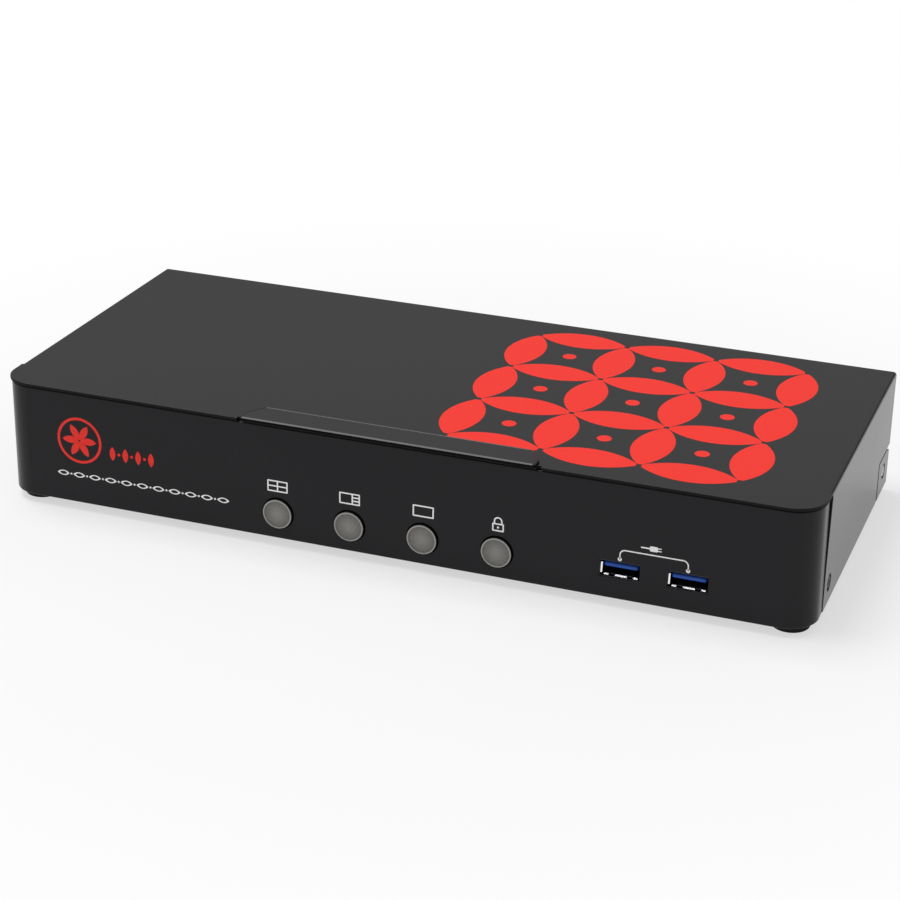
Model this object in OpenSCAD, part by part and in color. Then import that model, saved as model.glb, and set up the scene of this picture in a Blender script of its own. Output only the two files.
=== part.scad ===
// Desktop switch box for four computers, one keyboard, one mouse and one screen.
// Millimetres. X runs along the front, Y from the front to the back, Z up.
// The origin is at the middle of the footprint, on the surface that the feet stand on.

/* [Casing] */
// Width of the casing over the side skirts
body_w = 270; // [256:1:300]
// Depth of the casing from the bezel's face to the cover's rear edge
body_d = 118; // [112:1:150]
// Height of the casing without its feet
body_h = 39.5; // [36:0.5:60]
// Thickness of the sheet metal
sheet_t = 1.0; // [0.8:0.1:1.4]
// Outer radius of the cover's and base's bends
bend_r = 1.5; // [1.5:0.1:2.5]
// Radius of the cover's front corners, seen from above
corner_r = 10; // [7:0.5:14]
// Clearance between sheet-metal pieces that slide past each other
sheet_gap = 0.1; // [0.05:0.05:0.3]
// How far the rear panel is set in from the cover's rear edge
rear_inset = 0.5; // [0.3:0.1:2]

/* [Front bezel] */
// Wall of the bezel
bezel_wall = 2.2; // [1.8:0.1:3]
// How far the bezel's side returns reach back from its face
bezel_return = 14.4; // [12:0.2:20]
// How far the cover's plate stands out past the bezel
bezel_inset = 0.5; // [0.2:0.1:1]
// Shadow gap between the bezel's top edge and the cover
shadow_gap = 0.35; // [0.2:0.05:0.8]
// Gap between bezel and skirt in the lower part of the seam
seam_gap = 0.3; // [0.2:0.1:0.8]
// Gap between bezel and skirt at the top of the seam
seam_gap_top = 1.8; // [0.8:0.1:2.5]
// Height above the casing's underside at which the seam starts to open
seam_taper_h = 15; // [10:1:20]

/* [Visor] */
// Width of the visor at its widest
visor_w = 97; // [80:1:120]
// Depth of the visor from front to back
visor_d = 10.9; // [9:0.1:13]
// Thickness of the visor
visor_t = 1.2; // [0.8:0.1:2]
// How far the visor overhangs the bezel's face
visor_overhang = 1.9; // [1:0.1:2.4]
// Sideways size of the chamfers at the visor's rear corners
visor_chamfer_x = 4.4; // [2:0.1:8]
// Front-to-back size of the chamfers at the visor's rear corners
visor_chamfer_y = 6.3; // [3:0.1:8]
// Distance of each snap leg from the middle
visor_leg_x = 32; // [20:1:38]
// Width of a snap leg
visor_leg_w = 8; // [5:0.5:10]
// Thickness of a snap leg
visor_leg_t = 1.4; // [1:0.1:1.6]
// Length of a snap leg below the cover's plate
visor_leg_drop = 2.6; // [2:0.1:4]

/* [Feet] */
// Height of the rubber feet
foot_h = 3; // [2:0.5:6]
// Radius of the rubber feet
foot_r = 6; // [5:0.5:8]
// Distance of the feet from the casing's sides
foot_side = 8.4; // [8.2:0.1:20]
// Distance of the front feet from the bezel's face, and of the rear feet from the rear edge
foot_end = 9.6; // [8.2:0.1:20]

/* [Buttons] */
// Radius of a button cap
cap_r = 5; // [4:0.1:5.4]
// Distance between neighbouring buttons
button_pitch = 24.4; // [17:0.1:26]
// Sideways place of the row of buttons, from the middle of the casing
button_row_x = 0; // [-6:0.05:2]
// Height of the buttons above the casing's underside
button_h = 8.75; // [8:0.05:11]
// How far a cap stands out past the bezel's face
cap_proud = 0.9; // [0.6:0.1:1.5]
// Clearance around a cap in the bezel
cap_gap = 0.3; // [0.15:0.05:0.5]
// How far a button travels
button_travel = 0.5; // [0.2:0.05:0.55]
// Thickness of the flange that keeps a cap in the bezel
cap_flange_t = 1; // [0.8:0.1:1.2]
// How far the flange reaches past the cap
cap_flange_lip = 1; // [0.8:0.1:1.4]
// Depth of the dish in a cap's face
cap_dish = 0.25; // [0.1:0.05:0.4]
// Width of the plain rim round the dish
cap_rim = 0.6; // [0.4:0.1:1]

/* [Key switches] */
// Side of a key switch's square body
switch_w = 6; // [5:0.1:6.4]
// Depth of a key switch's body
switch_d = 3.5; // [3.2:0.1:5]
// Radius of a key switch's plunger
plunger_r = 1.7; // [1.2:0.1:2]
// Clearance around a plunger
plunger_gap = 0.1; // [0.05:0.05:0.2]
// How far a plunger stands out of its switch
plunger_out = 1.1; // [0.8:0.1:1.6]
// How far a plunger reaches into its switch
plunger_in = 1.3; // [1:0.1:1.6]

/* [Circuit boards] */
// Thickness of the boards
board_t = 1.6; // [1:0.1:2]
// Height of the standoffs under the main board
standoff_h = 4; // [3:0.5:6]
// Gap between the main board and the casing's sides
board_side_gap = 7; // [6.5:0.5:10]
// Gap between the main board and the rear panel
board_rear_gap = 1.5; // [1:0.1:3]
// Width of the button board
button_board_w = 100; // [98:1:104]
// Height of the button board
button_board_h = 22; // [20:0.5:24]
// Gap between the button board's lower edge and the base
button_board_lift = 0.5; // [0.3:0.1:1.5]

/* [Sockets] */
// Sheet of the sockets' shells
shell_t = 0.3; // [0.2:0.05:0.4]
// Inside width of a flat socket
usb_a_w = 12.5; // [12:0.1:13]
// Inside height of a flat socket
usb_a_h = 5.12; // [5:0.01:5.4]
// Depth of the front sockets
usb_a_d = 15; // [13:0.5:18]
// Sideways place of the left front socket
usb_front_x = 75.6; // [68:0.05:76]
// Distance between the front sockets
usb_front_pitch = 21.1; // [17:0.1:22]
// How far the front sockets are set in from the bezel's face
usb_recess = 0.6; // [0.2:0.1:1.5]
// Clearance around a socket in its cut-out
socket_gap = 0.15; // [0.1:0.05:0.3]
// Inside width of a screen socket
video_w = 14; // [13.6:0.1:14.4]
// Inside height of a screen socket
video_h = 4.6; // [4.4:0.1:5]
// Inside width of a computer socket
usb_b_w = 8.5; // [8.2:0.1:9]
// Inside height of a computer socket's main part
usb_b_h = 7.8; // [7.6:0.1:8.4]
// How far the rear sockets stand out of the rear panel
socket_proud = 0.8; // [0.2:0.1:1.2]
// Distance between neighbouring computers' sockets
computer_pitch = 38; // [36:0.5:38]
// Radius of a sound jack's bore
jack_bore_r = 1.8; // [1.75:0.01:1.9]
// Outer radius of a sound jack's collar
jack_collar_r = 3; // [2.6:0.1:3.4]
// How far the sound jacks' collars stand out past the cover's rear edge
jack_proud = 1.9; // [1:0.1:3]
// Radius of the power inlet's bore
power_bore_r = 3.1; // [2.8:0.1:3.3]
// Radius of the power inlet's pin
power_pin_r = 1; // [0.8:0.05:1.3]

/* [Fasteners] */
// Radius of the casing screws' shanks
screw_r = 1.5; // [1.2:0.1:1.6]
// Clearance round a screw
screw_gap = 0.1; // [0.05:0.05:0.2]
// Head radius of the casing screws
screw_head_r = 2.7; // [2.3:0.1:2.8]
// Length of the casing screws' shanks
screw_l = 5; // [4:0.5:5.5]
// Distance of the cover screws behind the bezel's returns
cover_screw_back = 7; // [5:0.1:12]
// Height of the cover screws above the casing's underside
cover_screw_h = 7.1; // [6:0.1:12]
// Length of the notch at the skirt's rear lower corner
notch_l = 18; // [14:0.5:24]
// Height of the notch at the skirt's rear lower corner
notch_h = 13.6; // [11:0.1:15]
// Gap between the notch and the ear that fills it
ear_gap = 0.35; // [0.2:0.05:0.6]

/* [Hidden] */
$fn = 64;

// How far joined solids run into each other, and how far cuts run past a face
eps = 0.01;
over = 1;

// Front to back: the whole depth, visor and jacks included, is centred on the origin
whole_d = visor_overhang + body_d + jack_proud;
face_y = visor_overhang - whole_d / 2;
rear_y = face_y + body_d;
panel_y = rear_y - rear_inset;
seam_y = face_y + bezel_return;
skirt_y = seam_y + seam_gap;

// Levels
base_z = foot_h;
floor_z = base_z + sheet_t;
top_z = base_z + body_h;
plate_z = top_z - sheet_t;
board_z = floor_z + standoff_h;
deck_z = board_z + board_t;
button_z = base_z + button_h;
cover_screw_y = seam_y + cover_screw_back;
cover_screw_z = base_z + cover_screw_h;
notch_z = base_z + notch_h;

// Snap legs of the visor
leg_back = 3.4;
leg_y = face_y - visor_overhang + visor_d - leg_back;
leg_gap = 0.15;

// Widths
bezel_w = body_w - 2 * bezel_inset;
bezel_r = corner_r - bezel_inset;
flange_x = body_w / 2 - sheet_t - sheet_gap;
flange_over_notch = 4;
flange_h = notch_h + flange_over_notch;
panel_x = flange_x - sheet_t - sheet_gap;
return_x = bezel_w / 2 - bezel_wall;

// Base pan's front part, between the bezel's returns
base_front_gap = 0.3;
base_overlap = 5;
base_front_y = face_y + bezel_wall + base_front_gap;

// Screws
head_h = 1.6;
sink_h = sheet_t + sheet_gap;
slot_w = 0.7;
slot_l = 3;
slot_d = 0.7;
panel_screw_y = rear_y - notch_l / 2;
panel_screw_z = base_z + (notch_h + sheet_t) / 2;
ear_cut_y = 5;
ear_cut_z = 1.3;
boss_r = 3.6;
boss_h = 10;
boss_gap = 0.5;
tapped_boss_r = 3.2;
tapped_boss_t = 2;

// Buttons, from the bezel's face inwards
button_xs = [for (i = [0:3]) button_row_x + (i - 1.5) * button_pitch];
flange_gap = 0.1;
cap_flange_y = face_y + bezel_wall + flange_gap;
stem_r = 1.5;
stem_out = 1.3;
stem_end_y = cap_flange_y + cap_flange_t + stem_out;
switch_y = stem_end_y + plunger_out;
button_board_y = switch_y + switch_d;
button_board_z = floor_z + button_board_lift + button_board_h / 2;
cap_wall = 1.2;
board_boss_side = 4;
board_boss_top = 5;
cap_hollow_r = cap_r - cap_wall;
board_boss_x = button_board_w / 2 - board_boss_side;
board_boss_z = button_board_z + button_board_h / 2 - board_boss_top;
board_boss_r = 2.8;
small_screw_r = 1.1;
small_head_r = 2.1;
small_screw_l = 5.5;
lamp_w = 1.6;
lamp_t = 0.8;
lamp_drop = 4.3;

// Main board
board_x = body_w / 2 - board_side_gap;
board_rear_y = panel_y - sheet_t - board_rear_gap;
board_front_gap = 3.2;
tongue_back = 5;
board_front_y = button_board_y + board_t + board_front_gap;
board_tongue_y = face_y + usb_recess + tongue_back;
tongue_margin = 8.5;
standoff_r = 2.9;
standoff_edge = 5;
standoff_rear = 22;
standoff_floor = 0.5;
standoff_ys = [board_front_y + standoff_edge, board_rear_y - standoff_rear];

// Sockets
usb_deck_gap = 0.08;
usb_a_z = deck_z + usb_deck_gap + shell_t + usb_a_h / 2;
usb_tongue_t = 1.84;
usb_tongue_w = 11.1;
usb_tongue_drop = 0.45;
usb_tongue_l = 8.5;
usb_front_y = face_y + usb_recess;
usb_front_xs = [usb_front_x, usb_front_x + usb_front_pitch];
socket_y = panel_y + socket_proud;
video_d = 11;
video_corner = 1.3;
video_lip = 1.5;
video_z = deck_z + usb_deck_gap + shell_t + video_h / 2;
power_edge = 9;
jack_pitch = 11;
power_to_jack = 14;
jack_to_console = 16;
console_to_video = 21;
out_to_in = 27;
video_to_usb = 19;
power_x = board_x - power_edge;
microphone_x = power_x - power_to_jack;
speaker_x = microphone_x - jack_pitch;
console_x = speaker_x - jack_to_console;
video_out_x = console_x - console_to_video;
video_xs = [for (i = [0:3]) video_out_x - out_to_in - i * computer_pitch];
usb_b_xs = [for (x = video_xs) x - video_to_usb];
usb_b_d = 16;
usb_b_step_w = 5.6;
usb_b_step_h = 2.6;
usb_b_side = 1.7;
usb_b_body_w = usb_b_w + 2 * usb_b_side;
usb_b_sill = 1.1;
usb_b_body_h = usb_b_h + usb_b_step_h + 2 * usb_b_sill;
usb_b_z = deck_z + usb_deck_gap;
console_pitch = 8;
console_side = 0.7;
console_sill = 0.9;
console_w = usb_a_w + 2 * console_side;
console_h = usb_a_h + console_pitch + 2 * console_sill;
console_d = 17;
console_z = deck_z + usb_deck_gap;
jack_body_w = 8;
jack_body_h = 7.4;
jack_body_d = 12;
jack_z = deck_z + usb_deck_gap + jack_body_h / 2;
power_w = 9;
power_h = 11;
power_d = 13;
power_mouth_d = 9.5;
power_pin_root = 2;
power_pin_set = 1.2;
power_z = deck_z + usb_deck_gap + power_h / 2;

// Parts on the board, from its front and rear edges
processor_x = 14;
processor_back = 37;
processor_y = board_front_y + processor_back;
processor_w = 23;
processor_t = 2.2;
sink_w = 40;
sink_base_t = 2.5;
fin_h = 8;
fin_t = 1;
fin_count = 11;
pin_r = 1.2;
pin_head_r = 2.4;
pin_head_t = 1.6;
pin_inset = 4;
receiver_w = 12;
receiver_t = 1.4;
receiver_front = 30;
receiver_y = board_rear_y - receiver_front;
hub_w = 8;
hub_t = 1;
hub_y = receiver_y;
can_r = 3.15;
can_h = 7.7;
can_pitch = 9;
can_edge = 12;
can_front = 22;
can_y = receiver_y - can_front;
can_xs = concat([for (i = [0:3]) can_edge - board_x + i * can_pitch],
                [for (i = [0:2]) board_x - can_edge - i * can_pitch]);
coil_w = 7;
coil_h = 4.2;
coil_pitch = 11;
coil_front = 6;
coil_edge = 23;
coil_y = processor_y - coil_front;
coil_xs = [for (i = [0:3]) board_x - coil_edge - i * coil_pitch];
standoff_xs = [standoff_edge - board_x, (video_xs[2] + receiver_w / 2 + usb_b_xs[1] - hub_w / 2) / 2,
               (video_xs[0] + video_out_x) / 2, board_x - standoff_edge];
cable_w = 14;
cable_t = 0.3;
cable_bend = 4;
ribbon_socket_w = 17;
ribbon_socket_h = 5;
ribbon_socket_d = 2.6;
ribbon_x = button_row_x;
ribbon_back = 12;
cable_rise = 6;
ribbon_main_y = board_front_y + ribbon_socket_d / 2 + ribbon_back;
cable_z = button_board_z + cable_rise;

// Bezel screws stand on both sides of the front sockets, and in the same places on the left
bezel_screw_back = 5.2;
bezel_screw_y = face_y + bezel_wall + bezel_screw_back;
bezel_screw_inner = usb_front_xs[0] - tongue_margin - boss_gap - boss_r;
bezel_screw_outer = (usb_front_xs[1] + tongue_margin + body_w / 2 - foot_side - foot_r) / 2;
bezel_screw_xs = [-bezel_screw_outer, -bezel_screw_inner, bezel_screw_inner, bezel_screw_outer];

// Openings in the sheet metal
vent_w = 2.4;
vent_l = 22;
vent_pitch = 6;
vent_count = 12;
vent_x = 70;
vent_y = 8;
rear_vent_r = 1.6;
rear_vent_pitch = 5;
rear_vent_drop = 6.5;
rear_vent_count = 41;
hook_xs = [-80, 80];
hook_w = 12;
hook_l = 6;
flange_top_l = 8;

// A box from its lowest to its highest corner
module block(lo, hi) {
  translate(lo) cube(hi - lo);
}

// A cylinder along +Y that starts at p
module rod_y(p, r, l) {
  translate(p) rotate([-90, 0, 0]) cylinder(r = r, h = l);
}

// Calls its children once as drawn and once mirrored to the other side
module both_sides() {
  for (side = [0, 1]) mirror([side, 0, 0]) children();
}

// A rectangle in plan whose two front corners are round
module front_plan(w, r, front, back) {
  intersection() {
    translate([-w / 2, front]) square([w, back - front]);
    union() {
      translate([-w / 2, front + r]) square([w, back - front - r]);
      translate([-w / 2 + r, front]) square([w - 2 * r, back - front]);
      for (side = [-1, 1]) translate([side * (w / 2 - r), front + r]) circle(r);
    }
  }
}

// A rectangle that stands on its base line, with its two upper corners round
module bent_section(w, h, r) {
  union() {
    translate([-w / 2, 0]) square([w, h - r]);
    translate([-w / 2 + r, 0]) square([w - 2 * r, h]);
    for (side = [-1, 1]) translate([side * (w / 2 - r), h - r]) circle(r);
  }
}

// Folded sheet along Y: a channel that is open below
module channel(w, h, front, back) {
  translate([0, back, 0]) rotate([90, 0, 0]) linear_extrude(back - front)
    difference() {
      bent_section(w, h, bend_r);
      translate([0, -eps]) bent_section(w - 2 * sheet_t, h - sheet_t + eps, bend_r - sheet_t);
    }
}

// The cross recess of a screw whose head faces +Z
module cross_recess() {
  for (turn = [0, 90]) rotate([0, 0, turn])
    translate([-slot_l / 2, -slot_w / 2, -slot_d]) cube([slot_l, slot_w, slot_d + eps]);
}

// Countersunk screw: its head's face is at the origin and its shank points down
module flat_screw() {
  difference() {
    union() {
      translate([0, 0, -sink_h]) cylinder(r1 = screw_r, r2 = screw_head_r, h = sink_h);
      translate([0, 0, -screw_l]) cylinder(r = screw_r, h = screw_l - sink_h + eps);
    }
    cross_recess();
  }
}

// The hole for a countersunk screw
module flat_screw_hole() {
  translate([0, 0, -sink_h])
    cylinder(r1 = screw_r + screw_gap, r2 = screw_head_r + screw_gap, h = sink_h);
  translate([0, 0, -screw_l - over])
    cylinder(r = screw_r + screw_gap, h = screw_l + over - sink_h + eps);
}

// Pan-head screw: the underside of its head is at the origin and its shank points down
module pan_screw(shank_r, head_r, head_t, length) {
  difference() {
    union() {
      translate([0, 0, -length]) cylinder(r = shank_r, h = length + eps);
      rotate_extrude() union() {
        square([head_r - head_t / 2, head_t]);
        square([head_r, head_t / 2]);
        translate([head_r - head_t / 2, head_t / 2]) circle(head_t / 2);
      }
    }
    translate([0, 0, head_t]) scale(head_r / screw_head_r * 0.9) cross_recess();
  }
}

// Places its children at a side cover screw, with +Z pointing out of the right side
module at_cover_screw() {
  translate([body_w / 2, cover_screw_y, cover_screw_z]) rotate([0, 90, 0]) children();
}

// Places its children at a rear panel screw, on the outside of the base's ear
module at_panel_screw() {
  translate([body_w / 2, panel_screw_y, panel_screw_z]) rotate([0, 90, 0]) children();
}

// The hole for a rear panel screw
module panel_screw_hole() {
  translate([0, 0, -screw_l - over]) cylinder(r = screw_r + screw_gap, h = screw_l + 2 * over);
}

// Places its children at the bezel screws, with +Z pointing down out of the base
module at_bezel_screws() {
  for (x = bezel_screw_xs) translate([x, bezel_screw_y, base_z]) rotate([180, 0, 0]) children();
}

module top_cover() {
  skirt_top = plate_z - (bend_r - sheet_t);
  color("#2b2b2d") difference() {
    union() {
      translate([0, 0, plate_z]) linear_extrude(sheet_t)
        front_plan(body_w, corner_r, face_y - bezel_inset, skirt_y + eps);
      translate([0, 0, base_z]) channel(body_w, body_h, skirt_y, rear_y);
      for (x = hook_xs) cover_hook(x);
    }
    both_sides() {
      // the seam beside the bezel opens towards the top
      translate([body_w / 2 - sheet_t - eps, 0, 0]) rotate([90, 0, 90]) linear_extrude(sheet_t + over)
        polygon([[skirt_y - eps, base_z + seam_taper_h], [skirt_y, base_z + seam_taper_h],
                 [seam_y + seam_gap_top, skirt_top], [skirt_y - eps, skirt_top]]);
      // the rear lower corner leaves room for the base's ear
      block([body_w / 2 - sheet_t - over, rear_y - notch_l, base_z - over],
            [body_w / 2 + over, rear_y + over, notch_z]);
      at_cover_screw() flat_screw_hole();
    }
    both_sides() translate([visor_leg_x, 0, 0]) visor_slot();
  }
}

// Angle under the cover's plate that hooks under the rear panel's top flange
module cover_hook(x) {
  under = plate_z - sheet_t - sheet_gap;
  front = panel_y - flange_top_l - 2 * sheet_t;
  block([x - hook_w / 2, front, under - sheet_t], [x + hook_w / 2, front + sheet_t, plate_z + eps]);
  block([x - hook_w / 2, front, under - sheet_t], [x + hook_w / 2, front + hook_l, under]);
}

module visor_slot() {
  block([-visor_leg_w / 2 - leg_gap, leg_y - leg_gap, plate_z - over],
        [visor_leg_w / 2 + leg_gap, leg_y + visor_leg_t + leg_gap, top_z + over]);
}

module top_visor() {
  front = face_y - visor_overhang;
  back = front + visor_d;
  half = visor_w / 2;
  edge = 0.3;
  barb = 0.5;
  color("#38383a") union() {
    translate([0, 0, top_z]) linear_extrude(visor_t - edge) visor_plan(half, front, back);
    translate([0, 0, top_z + visor_t - edge]) linear_extrude(edge)
      visor_plan(half - edge, front + edge, back - edge);
    both_sides() translate([visor_leg_x, 0, 0]) {
      block([-visor_leg_w / 2, leg_y, plate_z - visor_leg_drop],
            [visor_leg_w / 2, leg_y + visor_leg_t, top_z + eps]);
      block([-visor_leg_w / 2, leg_y, plate_z - visor_leg_drop],
            [visor_leg_w / 2, leg_y + visor_leg_t + barb, plate_z - leg_gap]);
    }
  }
}

module visor_plan(half, front, back) {
  polygon([[-half, front], [half, front], [half, back - visor_chamfer_y],
           [half - visor_chamfer_x, back], [-half + visor_chamfer_x, back],
           [-half, back - visor_chamfer_y]]);
}

module front_bezel() {
  bezel_top = plate_z - shadow_gap;
  pad_w = 10;
  pad_d = 3;
  pad_h = 4;
  color("#222224") difference() {
    union() {
      translate([0, 0, base_z]) linear_extrude(bezel_top - base_z) difference() {
        front_plan(bezel_w, bezel_r, face_y, seam_y);
        front_plan(bezel_w - 2 * bezel_wall, bezel_r - bezel_wall, face_y + bezel_wall, seam_y + over);
      }
      // pads behind the wall carry the cover's plate
      for (x = bezel_screw_xs)
        block([x - pad_w / 2, face_y + bezel_wall - eps, plate_z - pad_h],
              [x + pad_w / 2, face_y + bezel_wall + pad_d, plate_z]);
      for (x = bezel_screw_xs)
        translate([x, bezel_screw_y, floor_z]) bezel_boss();
      for (side = [-1, 1])
        rod_y([button_row_x + side * board_boss_x, face_y + bezel_wall - eps, board_boss_z],
              board_boss_r, button_board_y - face_y - bezel_wall + eps);
    }
    for (x = button_xs)
      rod_y([x, face_y - over, button_z], cap_r + cap_gap, bezel_wall + 2 * over);
    for (x = usb_front_xs)
      cutout(x, usb_a_z - usb_a_h / 2 - shell_t, usb_a_w + 2 * shell_t, usb_a_h + 2 * shell_t,
             face_y - over, face_y + bezel_wall + over);
    at_bezel_screws() flat_screw_hole();
    for (side = [-1, 1])
      rod_y([button_row_x + side * board_boss_x, button_board_y - small_screw_l, board_boss_z],
            small_screw_r + screw_gap, small_screw_l + over);
  }
}

// Post for a bezel screw, with a rib to the wall in front of it
module bezel_boss() {
  cylinder(r = boss_r, h = boss_h);
  block([-1, face_y + bezel_wall - bezel_screw_y - eps, 0], [1, 0, boss_h]);
}

module base_pan() {
  side_w = 2 * flange_x;
  front_w = 2 * (return_x - base_front_gap);
  front_r = bezel_r - bezel_wall - base_front_gap;
  color("#1f1f21") difference() {
    union() {
      translate([0, 0, base_z]) linear_extrude(sheet_t)
        front_plan(front_w, front_r, base_front_y, skirt_y + base_overlap);
      translate([0, 0, base_z + flange_h]) mirror([0, 0, 1])
        channel(side_w, flange_h, skirt_y + seam_gap_top, panel_y);
      both_sides() translate([flange_x - sheet_t + eps, cover_screw_y, cover_screw_z])
        rotate([0, -90, 0]) cylinder(r = tapped_boss_r, h = tapped_boss_t);
      both_sides() base_ear();
    }
    both_sides() {
      at_cover_screw() flat_screw_hole();
      at_panel_screw() flat_screw_hole();
    }
    at_bezel_screws() flat_screw_hole();
    for (side = [-1, 1], i = [0:vent_count - 1])
      vent_slot(side * vent_x + (i - (vent_count - 1) / 2) * vent_pitch, vent_y);
  }
}

// Ear on the flange that fills the skirt's notch, with its rear upper corner cut away
module base_ear() {
  front = rear_y - notch_l + ear_gap;
  ear_top = notch_z - ear_gap;
  inside = flange_x - sheet_t / 2;
  translate([inside, 0, 0]) rotate([90, 0, 90]) linear_extrude(body_w / 2 - inside)
    polygon([[front, base_z], [panel_y, base_z], [panel_y, ear_top - ear_cut_z],
             [panel_y - ear_cut_y, ear_top], [front, ear_top]]);
}

// One round-ended slot through the base, along Y
module vent_slot(x, y) {
  depth = sheet_t + 2 * over;
  translate([x, y, base_z - over]) {
    translate([-vent_w / 2, -vent_l / 2, 0]) cube([vent_w, vent_l, depth]);
    for (side = [-1, 1]) translate([0, side * vent_l / 2, 0]) cylinder(r = vent_w / 2, h = depth);
  }
}

module rear_panel() {
  back = panel_y;
  front = panel_y - sheet_t;
  bend_relief = bend_r - sheet_t + sheet_gap;
  color("#1f1f21") difference() {
    union() {
      block([-panel_x, front, floor_z], [panel_x, back, plate_z]);
      block([-panel_x + sheet_t, back - flange_top_l, plate_z - sheet_t],
            [panel_x - sheet_t, back, plate_z]);
      both_sides() block([panel_x - sheet_t, rear_y - notch_l, floor_z], [panel_x, back, plate_z]);
      both_sides() translate([panel_x - sheet_t + eps, panel_screw_y, panel_screw_z])
        rotate([0, -90, 0]) cylinder(r = tapped_boss_r, h = tapped_boss_t);
    }
    both_sides() at_panel_screw() panel_screw_hole();
    both_sides() block([panel_x - bend_relief, front - notch_l, floor_z - over],
                       [panel_x + over, back + over, floor_z + bend_relief]);
    rear_cutouts(front - over, back + over);
    for (row = [0, 1], i = [1:rear_vent_count - row])
      rod_y([(i - (rear_vent_count + 1 - row) / 2) * rear_vent_pitch, front - over,
             top_z - rear_vent_drop - row * rear_vent_pitch * sin(60)],
            rear_vent_r, sheet_t + 2 * over);
  }
}

// The rear panel's cut-outs: each follows its socket's own size
module rear_cutouts(front, back) {
  for (x = concat(video_xs, [video_out_x]))
    cutout(x, video_z - video_h / 2 - shell_t, video_w + 2 * shell_t, video_h + 2 * shell_t,
           front, back);
  for (x = usb_b_xs) cutout(x, usb_b_z, usb_b_body_w, usb_b_body_h, front, back);
  cutout(console_x, console_z, console_w, console_h, front, back);
  for (x = [speaker_x, microphone_x]) rod_y([x, front, jack_z], jack_collar_r + socket_gap, back - front);
  cutout(power_x, power_z - power_h / 2, power_w, power_h, front, back);
}

module cutout(x, z, w, h, front, back) {
  block([x - w / 2 - socket_gap, front, z - socket_gap],
        [x + w / 2 + socket_gap, back, z + h + socket_gap]);
}

// Four feet stuck to the base: a short cone with a rounded lower rim
module rubber_feet() {
  rim = 0.6;
  x = body_w / 2 - foot_side;
  color("#1a1a1a")
    for (sx = [-1, 1], y = [face_y + foot_end, rear_y - foot_end])
      translate([sx * x, y, 0]) rotate_extrude() union() {
        square([foot_r - rim, foot_h]);
        translate([0, rim]) square([foot_r, foot_h - rim]);
        translate([foot_r - rim, rim]) circle(rim);
      }
}

// A button's cap: dished face, flange behind the bezel, hollow back and a stem
module button_cap(i) {
  front = face_y - cap_proud;
  depth = cap_flange_y + cap_flange_t - front;
  flange_r = cap_r + cap_flange_lip;
  edge = 0.35;
  face_t = 1.4;
  color("#8c8a84") translate([button_xs[i], front, button_z]) rotate([-90, 0, 0])
    rotate_extrude() polygon([
      [0, cap_dish], [cap_r - cap_rim - 0.3, cap_dish], [cap_r - cap_rim, 0],
      [cap_r - edge, 0], [cap_r, edge], [cap_r, depth - cap_flange_t],
      [flange_r, depth - cap_flange_t], [flange_r, depth],
      [cap_hollow_r, depth], [cap_hollow_r, face_t], [stem_r, face_t],
      [stem_r, stem_end_y - front], [0, stem_end_y - front]]);
}

module plunger(i) {
  color("#26231f")
    rod_y([button_xs[i], stem_end_y, button_z], plunger_r, plunger_out + plunger_in);
}

module key_switch(i) {
  clear = plunger_in + button_travel + 0.2;
  color("#15151a") difference() {
    block([button_xs[i] - switch_w / 2, switch_y, button_z - switch_w / 2],
          [button_xs[i] + switch_w / 2, button_board_y, button_z + switch_w / 2]);
    rod_y([button_xs[i], switch_y - over, button_z], plunger_r + plunger_gap, clear + over);
  }
}

module button_board() {
  color("#1d5b35") difference() {
    block([button_row_x - button_board_w / 2, button_board_y, button_board_z - button_board_h / 2],
          [button_row_x + button_board_w / 2, button_board_y + board_t,
           button_board_z + button_board_h / 2]);
    for (side = [-1, 1])
      rod_y([button_row_x + side * board_boss_x, button_board_y - over, board_boss_z],
            small_screw_r + screw_gap, board_t + 2 * over);
  }
}

// One lamp beside each key switch lights its cap from behind
module button_lamps() {
  color("#e8e4d2") for (x = button_xs)
    block([x - lamp_w / 2, button_board_y - lamp_t, button_z + lamp_drop - lamp_w / 2],
          [x + lamp_w / 2, button_board_y, button_z + lamp_drop + lamp_w / 2]);
}

module button_board_screws() {
  head_t = 1.4;
  color("#b8b8ba") for (side = [-1, 1])
    translate([button_row_x + side * board_boss_x, button_board_y + board_t, board_boss_z])
      rotate([-90, 0, 0]) pan_screw(small_screw_r, small_head_r, head_t, small_screw_l);
}

// Shell of a flat socket, open to the front (-Y)
module front_usb_shell(i) {
  x = usb_front_xs[i];
  w = usb_a_w + 2 * shell_t;
  h = usb_a_h + 2 * shell_t;
  color("#c9cacc") difference() {
    block([x - w / 2, usb_front_y, usb_a_z - h / 2], [x + w / 2, usb_front_y + usb_a_d, usb_a_z + h / 2]);
    block([x - usb_a_w / 2, usb_front_y - over, usb_a_z - usb_a_h / 2],
          [x + usb_a_w / 2, usb_front_y + usb_a_d - shell_t, usb_a_z + usb_a_h / 2]);
  }
}

// Tongue of a flat socket with the block that holds it, drawn for a mouth at the origin
module usb_a_insert(depth) {
  tongue_top = usb_a_h / 2 - usb_tongue_drop;
  tongue_front = 1;
  block_y = tongue_front + usb_tongue_l;
  block([-usb_tongue_w / 2, tongue_front, tongue_top - usb_tongue_t],
        [usb_tongue_w / 2, block_y + eps, tongue_top]);
  block([-usb_a_w / 2, block_y, -usb_a_h / 2], [usb_a_w / 2, depth, usb_a_h / 2]);
}

module front_usb_insert(i) {
  color("#1c3f9e") translate([usb_front_xs[i], usb_front_y, usb_a_z])
    usb_a_insert(usb_a_d - shell_t);
}

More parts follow.
